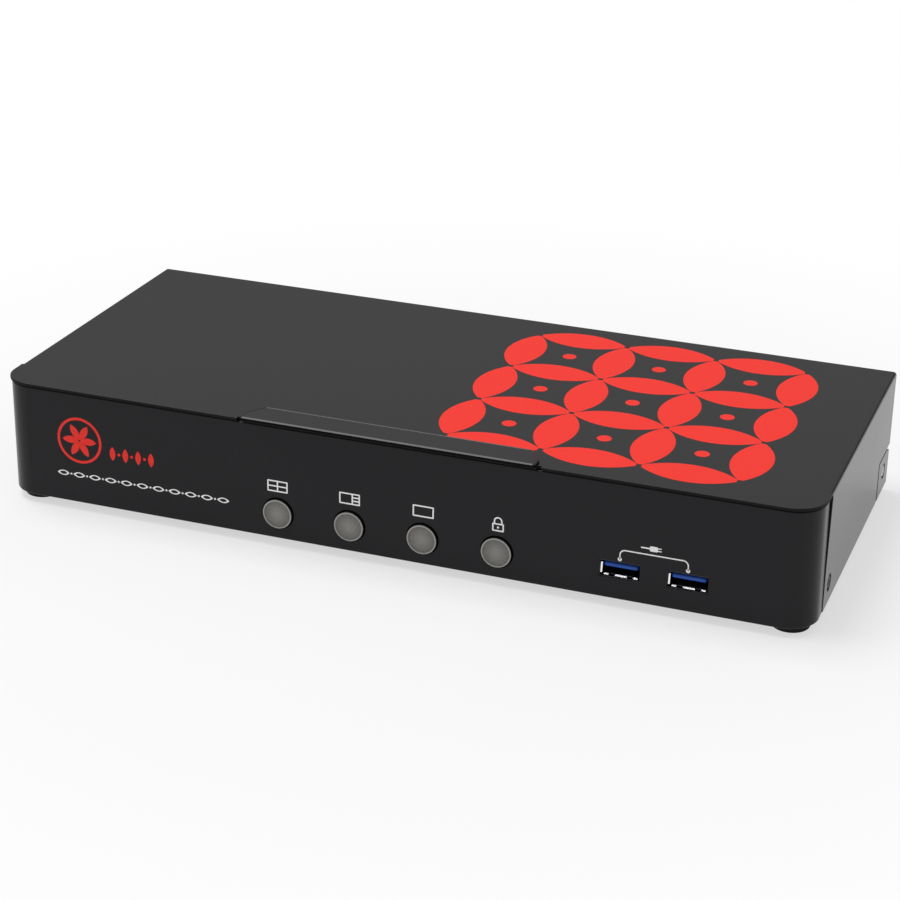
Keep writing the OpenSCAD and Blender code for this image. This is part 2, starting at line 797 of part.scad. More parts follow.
module main_board() {
  color("#1d5b35") difference() {
    union() {
      block([-board_x, board_front_y, board_z], [board_x, board_rear_y, deck_z]);
      block([usb_front_xs[0] - tongue_margin, board_tongue_y, board_z],
            [usb_front_xs[1] + tongue_margin, board_front_y + eps, deck_z]);
    }
    for (x = standoff_xs, y = standoff_ys)
      translate([x, y, board_z - over]) cylinder(r = screw_r + screw_gap, h = board_t + 2 * over);
  }
}

module board_standoffs() {
  color("#c7b16a") for (x = standoff_xs, y = standoff_ys)
    translate([x, y, floor_z]) difference() {
      cylinder(r = standoff_r, h = standoff_h, $fn = 6);
      translate([0, 0, standoff_floor]) cylinder(r = screw_r + screw_gap, h = standoff_h);
    }
}

module board_screws() {
  color("#b8b8ba") for (x = standoff_xs, y = standoff_ys)
    translate([x, y, deck_z])
      pan_screw(screw_r, screw_head_r, head_h, board_t + standoff_h - 2 * standoff_floor);
}

// Cross-section of a screen socket: a flat opening with its lower corners cut
module video_section(grow) {
  w = video_w / 2 + grow;
  h = video_h / 2 + grow;
  c = video_corner + grow * 0.41;
  polygon([[-w, h], [-w, c + video_lip - h], [c - w, -h], [w - c, -h], [w, c + video_lip - h], [w, h]]);
}

// Turns a section in X and Z into a tube along Y whose mouth is at the back
module along_y(x, z, back, depth) {
  translate([x, back, z]) rotate([90, 0, 0]) linear_extrude(depth) children();
}

module video_shell(x) {
  color("#c9cacc") difference() {
    along_y(x, video_z, socket_y, video_d) video_section(shell_t);
    along_y(x, video_z, socket_y + over, video_d + over - shell_t) video_section(0);
  }
}

module video_inserts() {
  tongue_w = 11.2;
  tongue_t = 1;
  tongue_l = 6.5;
  block_l = 2.5;
  inner = socket_y - video_d + shell_t;
  color("#141414") for (x = concat(video_xs, [video_out_x])) {
    block([x - tongue_w / 2, inner + block_l - eps, video_z + 0.1],
          [x + tongue_w / 2, inner + block_l + tongue_l, video_z + 0.1 + tongue_t]);
    along_y(x, video_z, inner + block_l, block_l) video_section(0);
  }
}

// Opening of a computer socket: a square part with a narrower step on top
module usb_b_opening() {
  w = usb_b_w / 2;
  s = usb_b_step_w / 2;
  c = 1.2;
  polygon([[-w, 0], [w, 0], [w, usb_b_h - c], [w - c, usb_b_h], [s, usb_b_h],
           [s, usb_b_h + usb_b_step_h], [-s, usb_b_h + usb_b_step_h], [-s, usb_b_h],
           [c - w, usb_b_h], [-w, usb_b_h - c]]);
}

module computer_usb_shell(i) {
  x = usb_b_xs[i];
  color("#c9cacc") difference() {
    block([x - usb_b_body_w / 2, socket_y - usb_b_d, usb_b_z],
          [x + usb_b_body_w / 2, socket_y, usb_b_z + usb_b_body_h]);
    block([x - usb_b_body_w / 2 + shell_t, socket_y - usb_b_d + shell_t, usb_b_z + shell_t],
          [x + usb_b_body_w / 2 - shell_t, socket_y + over, usb_b_z + usb_b_body_h - shell_t]);
  }
}

module computer_usb_inserts() {
  inner = socket_y - usb_b_d + shell_t;
  mouth_d = 9;
  post_w = 5.6;
  post_h = 3.2;
  post_set = 1.2;
  face_set = 0.3;
  color("#1c3f9e") for (x = usb_b_xs) {
    difference() {
      block([x - usb_b_body_w / 2 + shell_t, inner, usb_b_z + shell_t],
            [x + usb_b_body_w / 2 - shell_t, socket_y - face_set, usb_b_z + usb_b_body_h - shell_t]);
      along_y(x, usb_b_z + usb_b_sill, socket_y + over, mouth_d + over) usb_b_opening();
    }
    block([x - post_w / 2, socket_y - mouth_d - eps, usb_b_z + usb_b_sill + (usb_b_h - post_h) / 2],
          [x + post_w / 2, socket_y - post_set, usb_b_z + usb_b_sill + (usb_b_h + post_h) / 2]);
  }
}

module console_usb_shell() {
  color("#c9cacc") difference() {
    block([console_x - console_w / 2, socket_y - console_d, console_z],
          [console_x + console_w / 2, socket_y, console_z + console_h]);
    block([console_x - console_w / 2 + shell_t, socket_y - console_d + shell_t, console_z + shell_t],
          [console_x + console_w / 2 - shell_t, socket_y + over, console_z + console_h - shell_t]);
  }
}

// Moulding of the stacked sockets: a divider, two tongues and the block behind them
module console_usb_insert() {
  inner = socket_y - console_d + shell_t;
  block_l = 6;
  mid_z = console_z + console_h / 2;
  divider_t = console_pitch - usb_a_h;
  half_w = console_w / 2 - shell_t;
  divider_set = 0.4;
  tongue_set = 1;
  color("#141414") {
    block([console_x - half_w, inner, console_z + shell_t],
          [console_x + half_w, inner + block_l, console_z + console_h - shell_t]);
    block([console_x - half_w, inner + block_l - eps, mid_z - divider_t / 2],
          [console_x + half_w, socket_y - divider_set, mid_z + divider_t / 2]);
    for (side = [-1, 1])
      translate([console_x, 0, mid_z + side * console_pitch / 2])
        block([-usb_tongue_w / 2, inner + block_l - eps, usb_a_h / 2 - usb_tongue_drop - usb_tongue_t],
              [usb_tongue_w / 2, socket_y - tongue_set, usb_a_h / 2 - usb_tongue_drop]);
  }
}

// Sound jack: a block on the board and a collar through the rear panel
module sound_jack(x, tint) {
  inner = panel_y - sheet_t - sheet_gap;
  tip = rear_y + jack_proud;
  bore_l = 14;
  color(tint) difference() {
    union() {
      block([x - jack_body_w / 2, inner - jack_body_d, jack_z - jack_body_h / 2],
            [x + jack_body_w / 2, inner, jack_z + jack_body_h / 2]);
      rod_y([x, inner - eps, jack_z], jack_collar_r, tip - inner + eps);
    }
    rod_y([x, tip - bore_l, jack_z], jack_bore_r, bore_l + over);
  }
}

module power_inlet() {
  color("#141414") difference() {
    block([power_x - power_w / 2, socket_y - power_d, power_z - power_h / 2],
          [power_x + power_w / 2, socket_y, power_z + power_h / 2]);
    rod_y([power_x, socket_y - power_mouth_d, power_z], power_bore_r, power_mouth_d + over);
    rod_y([power_x, socket_y - power_mouth_d - power_pin_root, power_z], power_pin_r,
          power_pin_root + over);
  }
}

module power_pin() {
  color("#c9cacc") rod_y([power_x, socket_y - power_mouth_d - power_pin_root, power_z], power_pin_r,
                         power_mouth_d + power_pin_root - power_pin_set);
}

// A square chip on the board, centred at x and y
module chip(x, y, w, t) {
  block([x - w / 2, y - w / 2, deck_z], [x + w / 2, y + w / 2, deck_z + t]);
}

module video_processor() {
  color("#1b1b1b") chip(processor_x, processor_y, processor_w, processor_t);
}

module heatsink() {
  low = deck_z + processor_t;
  pitch = (sink_w - fin_t) / (fin_count - 1);
  color("#3b3f45") difference() {
    union() {
      block([processor_x - sink_w / 2, processor_y - sink_w / 2, low],
            [processor_x + sink_w / 2, processor_y + sink_w / 2, low + sink_base_t]);
      for (i = [0:fin_count - 1])
        block([processor_x - sink_w / 2 + i * pitch, processor_y - sink_w / 2, low + sink_base_t - eps],
              [processor_x - sink_w / 2 + i * pitch + fin_t, processor_y + sink_w / 2,
               low + sink_base_t + fin_h]);
    }
    at_sink_pins() {
      translate([0, 0, -over]) cylinder(r = pin_r + screw_gap, h = sink_base_t + 2 * over);
      translate([0, 0, sink_base_t]) cylinder(r = pin_head_r + 0.6, h = fin_h + over);
    }
  }
}

// Places its children at the two heatsink pins, on the underside of the heatsink
module at_sink_pins() {
  for (side = [-1, 1])
    translate([processor_x + side * (sink_w / 2 - pin_inset),
               processor_y - side * (sink_w / 2 - pin_inset), deck_z + processor_t]) children();
}

module heatsink_pins() {
  color("#e6e6e6") at_sink_pins() {
    translate([0, 0, -processor_t]) cylinder(r = pin_r, h = processor_t + sink_base_t + eps);
    translate([0, 0, sink_base_t]) cylinder(r = pin_head_r, h = pin_head_t);
  }
}

module receiver_chips() {
  color("#1b1b1b") for (x = concat(video_xs, [video_out_x])) chip(x, receiver_y, receiver_w, receiver_t);
}

module hub_chips() {
  color("#1b1b1b") for (x = usb_b_xs) chip(x, hub_y, hub_w, hub_t);
}

module capacitors() {
  color("#9aa0a8") for (x = can_xs) translate([x, can_y, deck_z]) cylinder(r = can_r, h = can_h);
}

module coils() {
  color("#3a3a3c") for (x = coil_xs)
    block([x - coil_w / 2, coil_y - coil_w / 2, deck_z],
          [x + coil_w / 2, coil_y + coil_w / 2, deck_z + coil_h]);
}

// Flat cable: straight back from the button board, then down in one bend to the main board
module ribbon_cable() {
  start = button_board_y + board_t + ribbon_socket_d;
  low = deck_z + ribbon_socket_h;
  left = ribbon_x - cable_w / 2;
  right = ribbon_x + cable_w / 2;
  bend_y = ribbon_main_y - cable_bend;
  bend_z = cable_z - cable_bend;
  half_t = cable_t / 2;
  color("#d8d8d8") {
    block([left, start, cable_z - half_t], [right, bend_y, cable_z + half_t]);
    block([left, ribbon_main_y - half_t, low], [right, ribbon_main_y + half_t, bend_z]);
    intersection() {
      difference() {
        bend_roll(left, bend_y, bend_z, cable_w, cable_bend + half_t);
        bend_roll(left - over, bend_y, bend_z, cable_w + 2 * over, cable_bend - half_t);
      }
      block([left - over, bend_y, bend_z],
            [right + over, bend_y + 2 * cable_bend, bend_z + 2 * cable_bend]);
    }
  }
}

// The roll that a cable's bend is cut from
module bend_roll(x, y, z, w, r) {
  translate([x, y, z]) rotate([0, 90, 0]) cylinder(r = r, h = w);
}

module button_ribbon_socket() {
  start = button_board_y + board_t;
  color("#efece2")
    block([ribbon_x - ribbon_socket_w / 2, start, cable_z - ribbon_socket_h / 2],
          [ribbon_x + ribbon_socket_w / 2, start + ribbon_socket_d, cable_z + ribbon_socket_h / 2]);
}

module main_ribbon_socket() {
  color("#efece2")
    block([ribbon_x - ribbon_socket_w / 2, ribbon_main_y - ribbon_socket_d / 2, deck_z],
          [ribbon_x + ribbon_socket_w / 2, ribbon_main_y + ribbon_socket_d / 2,
           deck_z + ribbon_socket_h]);
}

module cover_screws() {
  color("#2a2a2a") both_sides() at_cover_screw() flat_screw();
}

module panel_screws() {
  color("#8f9092") both_sides() at_panel_screw() flat_screw();
}

module bezel_screws() {
  color("#2a2a2a") at_bezel_screws() flat_screw();
}

top_cover();
front_bezel();
base_pan();
rear_panel();
top_visor();
rubber_feet();
for (i = [0:3]) {
  button_cap(i);
  plunger(i);
  key_switch(i);
  video_shell(video_xs[i]);
  computer_usb_shell(i);
}
for (i = [0:1]) {
  front_usb_shell(i);
  front_usb_insert(i);
}
button_board();
button_lamps();
button_board_screws();
main_board();
board_standoffs();
board_screws();
video_shell(video_out_x);  // video_out_shell
video_inserts();
computer_usb_inserts();
console_usb_shell();
console_usb_insert();
sound_jack(speaker_x, "#4f9e52");  // speaker_jack
sound_jack(microphone_x, "#d48aa2");  // microphone_jack
power_inlet();
power_pin();
video_processor();
heatsink();
heatsink_pins();
receiver_chips();
hub_chips();
capacitors();
coils();
ribbon_cable();
main_ribbon_socket();
button_ribbon_socket();
cover_screws();
panel_screws();
bezel_screws();
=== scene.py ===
import math
from types import SimpleNamespace

import bmesh
import bpy
import numpy as np
from bpy.props import FloatProperty, FloatVectorProperty, IntProperty, PointerProperty
from mathutils import Euler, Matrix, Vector
from mathutils.geometry import delaunay_2d_cdt


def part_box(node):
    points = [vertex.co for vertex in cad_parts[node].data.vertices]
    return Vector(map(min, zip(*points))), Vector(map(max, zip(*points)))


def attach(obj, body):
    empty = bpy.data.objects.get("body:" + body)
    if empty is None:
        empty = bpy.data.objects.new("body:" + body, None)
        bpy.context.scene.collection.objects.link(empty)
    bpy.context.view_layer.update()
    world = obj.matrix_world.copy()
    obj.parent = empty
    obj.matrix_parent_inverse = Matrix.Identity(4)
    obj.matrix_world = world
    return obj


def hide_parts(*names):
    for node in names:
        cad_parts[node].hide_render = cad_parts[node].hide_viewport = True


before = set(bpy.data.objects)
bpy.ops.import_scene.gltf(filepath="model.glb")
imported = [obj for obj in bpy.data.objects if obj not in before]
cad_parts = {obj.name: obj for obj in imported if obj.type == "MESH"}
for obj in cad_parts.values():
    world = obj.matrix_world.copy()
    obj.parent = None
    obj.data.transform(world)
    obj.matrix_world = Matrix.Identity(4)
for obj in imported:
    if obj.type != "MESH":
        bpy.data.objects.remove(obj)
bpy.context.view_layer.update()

bl_info = {
    "name": "Desktop Switch Box",
    "version": (1, 0, 0),
    "blender": (4, 5, 0),
    "location": "View3D > Sidebar > Switch Box",
    "description": "Dresses the packed frame of a desktop switch box for four computers",
    "category": "Object",
}

# Shapes are worked out in millimetres. X runs along the front, Y from the front to the back, Z up.
MM = 0.001


class Span:
    """A node's box: its lowest and highest corner, its middle and its size."""

    def __init__(self, node):
        self.low, self.high = np.array(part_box(node)) / MM
        self.middle = (self.low + self.high) / 2
        self.size = self.high - self.low


def numbered(name, count=4):
    return [f"{name}_{number}" for number in range(1, count + 1)]


cover, bezel, visor = Span("top_cover"), Span("front_bezel"), Span("top_visor")
half_width, rear_y, top_z = cover.high
base_z = cover.low[2]
face_y, seam_y = bezel.low[1], bezel.high[1]
panel_y = Span("rear_panel").high[1]

# Visor legs, which pass through slots in the cover
LEG_XS = (-32, 32)
LEG_HALF = 4
LEG_FROM_REAR = 3.4
LEG_THICK = 1.4

# Four contacts of a flat USB socket, from its middle
FOUR_CONTACTS = np.array([-3.5, -1.0, 1.0, 3.5])


# Settings that a user would change


def length(name, description, default):
    """A length, whose default is given in millimetres."""
    return FloatProperty(
        name=name, description=description, default=default * MM, unit="LENGTH")


def colour_setting(name, description, default):
    return FloatVectorProperty(
        name=name, description=description, default=default, subtype="COLOR", size=3)


class CasingSettings(bpy.types.PropertyGroup):
    """Sheet metal, bezel and visor."""

    sheet: length("Sheet", "Thickness of the sheet metal", 1.0)
    bend: length("Bend", "Outer radius of the cover's bends", 1.15)
    corner: length("Corner", "Radius of the cover's front corners in plan", 10.0)
    edge: length("Edge", "Rounding of the cover's cut edges", 0.14)
    wall: length("Wall", "Thickness of the bezel", 2.2)
    bezel_edge: length("Bezel edge", "Rounding of the bezel's outer edges", 0.45)
    bezel_top: length("Bezel top", "Height of the bezel's wall over the floor", 41.15)
    seam_opening: length("Seam opening", "Gap beside the bezel at the top of the seam", 1.5)
    seam_taper: length("Seam taper", "Height at which the seam starts to open", 15.0)
    seam_gap: length("Seam gap", "Gap beside the bezel in its lower part", 0.18)
    notch_length: length("Notch length", "Length of the notch at the skirt's rear lower corner", 18.9)
    notch_height: length("Notch height", "Height of that notch", 13.8)
    side_flare: length("Side flare", "Outward lean of the bezel's sides at the lower rear", 0.42)
    tuck: length("Tuck", "How far the bezel's sides turn in at their rear edge", 0.1)
    visor_edge: length("Visor edge", "Rounding of the visor's upper edges", 0.52)


class ButtonSettings(bpy.types.PropertyGroup):
    """The four button caps."""

    radius: length("Radius", "Radius of a cap", 5.0)
    gap: length("Gap", "Clearance round a cap in the bezel", 0.3)
    dish: length("Dish", "Depth of the dish in a cap's face", 0.25)
    rim: length("Rim", "Width of the plain rim round the dish", 0.6)


class PrintSettings(bpy.types.PropertyGroup):
    """Printed pictograms and the leaf pattern."""

    line: length("Line", "Width of the pictograms' lines", 0.46)
    ink: length("Ink", "Thickness of the printed ink", 0.03)
    tile: length("Tile", "Side of one tile of the leaf pattern on the cover", 31.0)
    columns: IntProperty(
        name="Columns", description="Tiles of the leaf pattern along X", default=3, min=1, max=6)
    rows: IntProperty(
        name="Rows", description="Tiles of the leaf pattern along Y", default=3, min=1, max=6)


class FinishSettings(bpy.types.PropertyGroup):
    """Base colours of the main surfaces."""

    cover: colour_setting("Cover", "Powder coat of the cover", (0.012, 0.0122, 0.0125))
    bezel: colour_setting("Bezel", "Moulded plastic of the bezel", (0.0118, 0.0118, 0.0138))
    caps: colour_setting("Caps", "Plastic of the button caps", (0.174, 0.17, 0.16))
    tongue: colour_setting("Tongue", "Plastic of the front sockets' tongues", (0.011, 0.085, 0.45))
    white: colour_setting("White", "Colour of the pictograms", (0.95, 0.95, 0.95))
    red: colour_setting("Red", "Colour of the leaf pattern", (0.96, 0.024, 0.012))


class StageSettings(bpy.types.PropertyGroup):
    """Camera and light, in metres, watts and radians."""

    distance: FloatVectorProperty(
        name="Camera", description="Place of the camera", default=(0.2375, -0.6508, 0.3191),
        subtype="TRANSLATION", size=3)
    turn: FloatVectorProperty(
        name="Turn", description="Tilt, roll and heading of the camera",
        default=(math.radians(66.3536), math.radians(0.9005), math.radians(20.103)),
        subtype="EULER", size=3)
    lens: FloatProperty(
        name="Lens", description="Focal length of the camera in millimetres", default=90.986)
    floor_size: FloatProperty(
        name="Floor", description="Side of the floor", default=6.0, unit="LENGTH")
    sky: FloatProperty(
        name="Sky", description="Strength of the even light from all round", default=0.5)
    softbox: FloatProperty(
        name="Softbox", description="Power of the overhead softbox", default=50.0)


SETTINGS = {
    "casing": CasingSettings,
    "buttons": ButtonSettings,
    "prints": PrintSettings,
    "finish": FinishSettings,
    "stage": StageSettings,
}


def settings(name):
    return getattr(bpy.context.scene, "switch_" + name)


def sizes(name):
    """Settings with their lengths in millimetres."""
    group = settings(name)
    values = {key: getattr(group, key) for key in group.__annotations__}
    return SimpleNamespace(**{
        key: value / MM if isinstance(value, float) else value for key, value in values.items()})


# Shader nodes as sums


class Wire:
    """A node's output that takes part in sums: each operator adds one Math node."""

    def __init__(self, paint, socket):
        self.paint = paint
        self.socket = socket

    def math(self, operation, *values):
        return self.paint.node("ShaderNodeMath", {"operation": operation}, dict(enumerate(values)))

    def __add__(self, other):
        return self.math("ADD", self, other)

    def __sub__(self, other):
        return self.math("SUBTRACT", self, other)

    def __rsub__(self, other):
        return self.math("SUBTRACT", other, self)

    def __mul__(self, other):
        return self.math("MULTIPLY", self, other)

    def __gt__(self, other):
        return self.math("GREATER_THAN", self, other)

    __radd__ = __add__
    __rmul__ = __mul__


class Nodes:
    """A node tree, and the one way in which nodes are added to it."""

    def __init__(self, tree):
        self.tree = tree

    def node(self, kind, options=None, inputs=None, output=0):
        """Adds any node: its options and a ramp's stops first, then its sockets' values or wires."""
        made = self.tree.nodes.new(kind)
        for key, value in (options or {}).items():
            if key == "stops":
                elements = made.color_ramp.elements
                elements.remove(elements[0])
                elements[0].position, elements[0].color = value[0][0], (*value[0][1], 1.0)
                for position, colour in value[1:]:
                    elements.new(position).color = (*colour, 1.0)
            else:
                setattr(made, key, value)
        for key, value in (inputs or {}).items():
            self.feed(made.inputs[key], value)
        return Wire(self, made.outputs[output])

    def feed(self, target, value):
        """Sets or links one socket. A colour gets its alpha."""
        if isinstance(value, Wire):
            self.tree.links.new(value.socket, target)
        elif target.type == "RGBA" and len(value) == 3:
            target.default_value = (*value, 1.0)
        else:
            target.default_value = value

    def ray(self, kind):
        """1 for rays of a kind: Camera, Glossy or Transmission."""
        return self.node("ShaderNodeLightPath", output=f"Is {kind} Ray")

    def seen(self):
        """1 for rays from the camera or through a clear surface."""
        camera = self.ray("Camera")
        return camera.math("MAXIMUM", camera, self.ray("Transmission"))


class Paint(Nodes):
    """One material: a Principled shader and the nodes that lead into it."""

    def __init__(self, name, **constants):
        self.material = bpy.data.materials.new(name)
        self.material.use_nodes = True
        super().__init__(self.material.node_tree)
        self.shader = self.tree.nodes["Principled BSDF"]
        for socket, value in constants.items():
            self.set(socket.replace("_", " ").title().replace("Ior", "IOR"), value)

    def set(self, socket, value):
        self.feed(self.shader.inputs[socket], value)

    def noise(self, size, detail=2.0, rough=0.5, stretch=(1.0, 1.0, 1.0)):
        """Noise from 0 to 1 over the object's coordinates, in lumps about size millimetres across."""
        where = self.node("ShaderNodeTexCoord", output="Object")
        scaled = self.node("ShaderNodeMapping", None, {
            "Vector": where, "Scale": tuple(s / (size * MM) for s in stretch)})
        return self.node("ShaderNodeTexNoise", None, {
            "Vector": scaled, "Scale": 1.0, "Detail": detail, "Roughness": rough})

    def mix(self, factor, first, second, blend="MIX"):
        """Colour between two colours."""
        return self.node("ShaderNodeMix", {"data_type": "RGBA", "blend_type": blend},
                         {0: factor, 6: first, 7: second}, 2)

    def coat(self, factor, colours, roughness, height, depth, blend="MIX"):
        """Feeds the colour, the roughness and a relief of depth millimetres. Returns the material."""
        self.set("Base Color", self.mix(factor, *colours, blend))
        self.set("Roughness", roughness)
        self.set("Normal", self.node("ShaderNodeBump", None, {
            "Strength": 1.0, "Distance": depth * MM, "Height": height}))
        return self.material


def tones(colour, *gains):
    """A colour made lighter or darker, once for each gain."""
    return [tuple(min(c * gain, 1.0) for c in colour) for gain in gains]


def coated_steel(name, colour):
    """Powder coat: a fine orange-peel grain, and broad faint clouds in colour and gloss."""
    paint = Paint(name, specular_ior_level=0.25)
    clouds, peel, specks = paint.noise(38, 3.0), paint.noise(0.28, 3.0, 0.6), paint.noise(0.12, 1.0)
    return paint.coat(clouds * 0.6 + specks * 0.4, tones(colour, 0.78, 1.25),
                      0.17 + clouds * 0.05 + peel * 0.05, peel * 0.8 + specks * 0.2, 0.002)


def moulded_plastic(name, colour, roughness, specular, grain=0.18):
    """Moulded plastic: fine spark-eroded grain and slow changes of gloss from the mould."""
    paint = Paint(name, specular_ior_level=specular)
    flow, grit = paint.noise(24, 2.0, 0.5, (1.0, 0.4, 1.0)), paint.noise(grain, 2.0, 0.7)
    return paint.coat(grit * 0.5 + flow * 0.5, tones(colour, 0.82, 1.2),
                      roughness - 0.05 + flow * 0.06 + grit * 0.06, grit, 0.0012)


def sheet_metal(name, colour, roughness, along=(1.0, 1.0, 1.0)):
    """Plated sheet metal: fine rolling lines along one direction and small stains."""
    paint = Paint(name, metallic=1.0)
    lines, stains = paint.noise(0.25, 3.0, 0.6, along), paint.noise(5, 3.0)
    return paint.coat(stains, tones(colour, 0.86, 1.08),
                      roughness - 0.08 + lines * 0.1 + stains * 0.08, lines, 0.003)


def printed_ink(name, colour, gain=1.0):
    """Screen-printed ink: an even film with a faint mesh grain."""
    paint = Paint(name, specular_ior_level=0.3)
    film = paint.noise(0.3, 2.0, 0.6)
    return paint.coat(film, tones(colour, 0.93 * gain, 1.06 * gain), 0.35 + film * 0.1, film, 0.003)


def smoky_cap(name, colour):
    """Translucent grey cap with light painted into its colour: a painted glow makes it milky in the
    middle, it darkens and is speckled towards a rim lightened as a painted highlight, and painted shade
    darkens the side wall past the rim.

    The attribute "ring" is the distance from the cap's axis, as a share of its radius.
    """
    paint = Paint(name, specular_ior_level=0.35)
    share = paint.node("ShaderNodeAttribute", {"attribute_name": "ring"}, output="Fac")
    # The ramp paints light and shade: a glow in the middle, a highlight on the rim, and shade on the side
    # wall and in the gap round the cap
    places = (0.0, 0.3, 0.7, 0.87, 0.91, 0.96, 0.985, 1.0)
    shades = tones(colour, 2.0, 1.75, 1.25, 1.0, 2.9, 2.9, 0.08, 0.05)
    painted_light = paint.node("ShaderNodeValToRGB", {"stops": list(zip(places, shades))}, {0: share})
    speckle = paint.noise(0.4, 3.0, 0.7)
    return paint.coat(speckle * 1.2 - 0.2, (painted_light, (0.35, 0.35, 0.35)), 0.3 + speckle * 0.2,
                      speckle, 0.006, "MULTIPLY")


def soft_rubber(name):
    """Foot rubber: dull, with a dusting of paler specks."""
    paint = Paint(name, specular_ior_level=0.25)
    dust = paint.noise(0.35, 3.0, 0.7)
    return paint.coat(dust, ((0.009, 0.009, 0.009), (0.02, 0.02, 0.019)), 0.68 + dust * 0.2,
                      dust, 0.02)


def board_laminate(name):
    """Circuit board: green solder mask over a weave of copper traces."""
    paint = Paint(name, specular_ior_level=0.5)
    weave = paint.noise(1.6, 1.0, 0.5, (1.0, 0.08, 1.0))
    tracks = weave > 0.56
    return paint.coat(tracks, ((0.008, 0.075, 0.028), (0.02, 0.13, 0.05)), 0.3 + weave * 0.12,
                      tracks, 0.03)


# Recipe of each finish: how it is made, its colour or the setting that holds it, roughness and so on
FINISHES = {
    "cover_paint": (coated_steel, "cover"),
    "base_paint": (coated_steel, (0.012, 0.0122, 0.0125)),
    "panel_paint": (coated_steel, (0.012, 0.0122, 0.0125)),
    "bezel_plastic": (moulded_plastic, "bezel", 0.25, 0.17),
    "visor_plastic": (moulded_plastic, (0.0105, 0.0105, 0.0115), 0.26, 0.36),
    # Painted shade: a darker, duller copy of the visor plastic for the visor's upright faces, which lie
    # in shade
    "visor_side": (moulded_plastic, (0.003, 0.003, 0.0035), 0.6, 0.06),
    # Painted shade: a darker, duller copy of the cover paint for the cover's front cut edge, which stands
    # in shade
    "cut_edge": (moulded_plastic, (0.006, 0.006, 0.0065), 0.6, 0.14),
    "cap_plastic": (smoky_cap, "caps"),
    "rubber": (soft_rubber,),
    "socket_metal": (sheet_metal, (0.62, 0.62, 0.63), 0.3, (1.0, 0.1, 1.0)),
    "socket_black": (moulded_plastic, (0.01, 0.01, 0.01), 0.4, 0.45),
    "socket_blue": (moulded_plastic, "tongue", 0.36, 0.5),
    # Painted highlight: a brighter, glossier copy of the sockets' steel, for the lips at the front
    # sockets' mouths
    "bright_lip": (sheet_metal, (0.95, 0.95, 0.95), 0.17),
    # Painted shade: a darkened copy of the sockets' steel, for the front shells, which lie in shade in
    # the bezel's openings
    "blackened_steel": (sheet_metal, (0.1, 0.1, 0.11), 0.35),
    "contact_gold": (sheet_metal, (0.86, 0.62, 0.27), 0.26),
    "jack_green": (moulded_plastic, (0.09, 0.36, 0.1), 0.34, 0.5),
    "jack_pink": (moulded_plastic, (0.66, 0.24, 0.34), 0.34, 0.5),
    "black_steel": (moulded_plastic, (0.008, 0.008, 0.008), 0.3, 0.35),
    "bright_steel": (sheet_metal, (0.56, 0.56, 0.57), 0.32),
    "board": (board_laminate,),
    "switch_plastic": (moulded_plastic, (0.02, 0.02, 0.022), 0.4, 0.5),
    "lamp": (moulded_plastic, (0.75, 0.72, 0.58), 0.2, 0.5),
    "standoff_brass": (sheet_metal, (0.72, 0.55, 0.27), 0.3),
    "chip_black": (moulded_plastic, (0.017, 0.017, 0.018), 0.5, 0.4, 0.3),
    "heatsink_metal": (sheet_metal, (0.06, 0.065, 0.075), 0.45, (0.1, 1.0, 1.0)),
    "can_metal": (sheet_metal, (0.55, 0.57, 0.6), 0.28),
    "white_plastic": (moulded_plastic, (0.72, 0.7, 0.64), 0.4, 0.5),
    "plunger_plastic": (moulded_plastic, (0.03, 0.028, 0.026), 0.4, 0.5),
    "white_ink": (printed_ink, "white"),
    "red_ink": (printed_ink, "red"),
    "front_red_ink": (printed_ink, "red", 0.92),
}

# Nodes that keep their shape, by slot: the rounding of their edges, and their names
KEPT = {
    "base_paint": (0.2, ["base_pan"]),
    "panel_paint": (0, ["rear_panel"]),
    "rubber": (0.25, ["rubber_feet"]),
    "socket_metal": (0.06, numbered("video_in_shell") + numbered("computer_usb_shell")
                     + ["video_out_shell", "console_usb_shell", "power_pin"]),
    "socket_black": (0.1, ["video_inserts", "console_usb_insert", "power_inlet"]),
    "socket_blue": (0.1, ["computer_usb_inserts"]),
    "jack_green": (0.2, ["speaker_jack"]),
    "jack_pink": (0.2, ["microphone_jack"]),
    "black_steel": (0.1, ["bezel_screws"]),
    "bright_steel": (0.1, ["board_screws", "button_board_screws"]),
    "board": (0.1, ["main_board", "button_board"]),
    "switch_plastic": (0.15, numbered("key_switch")),
    "lamp": (0.1, ["button_lamps"]),
    "standoff_brass": (0.15, ["board_standoffs"]),
    "chip_black": (0.15, ["video_processor", "receiver_chips", "hub_chips", "coils"]),
    "heatsink_metal": (0.12, ["heatsink"]),
    "can_metal": (0.4, ["capacitors"]),
    "white_plastic": (0.12, ["heatsink_pins", "ribbon_cable", "main_ribbon_socket",
                             "button_ribbon_socket"]),
    "plunger_plastic": (0.15, numbered("plunger")),
}


def finish(name):
    """A finish by its name, made the first time. The frame's own materials have plain slot names."""
    made = bpy.data.materials.get(name + "_finish")
    if made:
        return made
    make, *values = FINISHES[name]
    if values and isinstance(values[0], str):
        values[0] = tuple(getattr(settings("finish"), values[0]))
    return make(name + "_finish", *values)


# Flat shapes: outlines run anticlockwise, and holes are turned round when they are used


def unit(steps):
    """Each row of steps, made one long."""
    return steps / np.maximum(np.linalg.norm(steps, axis=1, keepdims=True), 1e-12)


def left_of(steps):
    """The direction to the left of each step."""
    return unit(np.stack([-steps[:, 1], steps[:, 0]], 1))


def mitre(before, after):
    """Where two lines at a distance of 1 meet, from their unit normals."""
    return (before + after) / (1 + (before * after).sum(1, keepdims=True))


def arc(centre, radius, start, end, steps):
    """Points at centre + radius (cos a, sin a), for a from start to end in degrees."""
    angle = np.radians(np.linspace(start, end, steps))
    return np.array(centre) + radius * np.stack([np.cos(angle), np.sin(angle)], 1)


def ring(centre, radius, steps=48):
    """A whole circle, with no point twice."""
    return arc(centre, radius, 0, 360, steps + 1)[:-1]


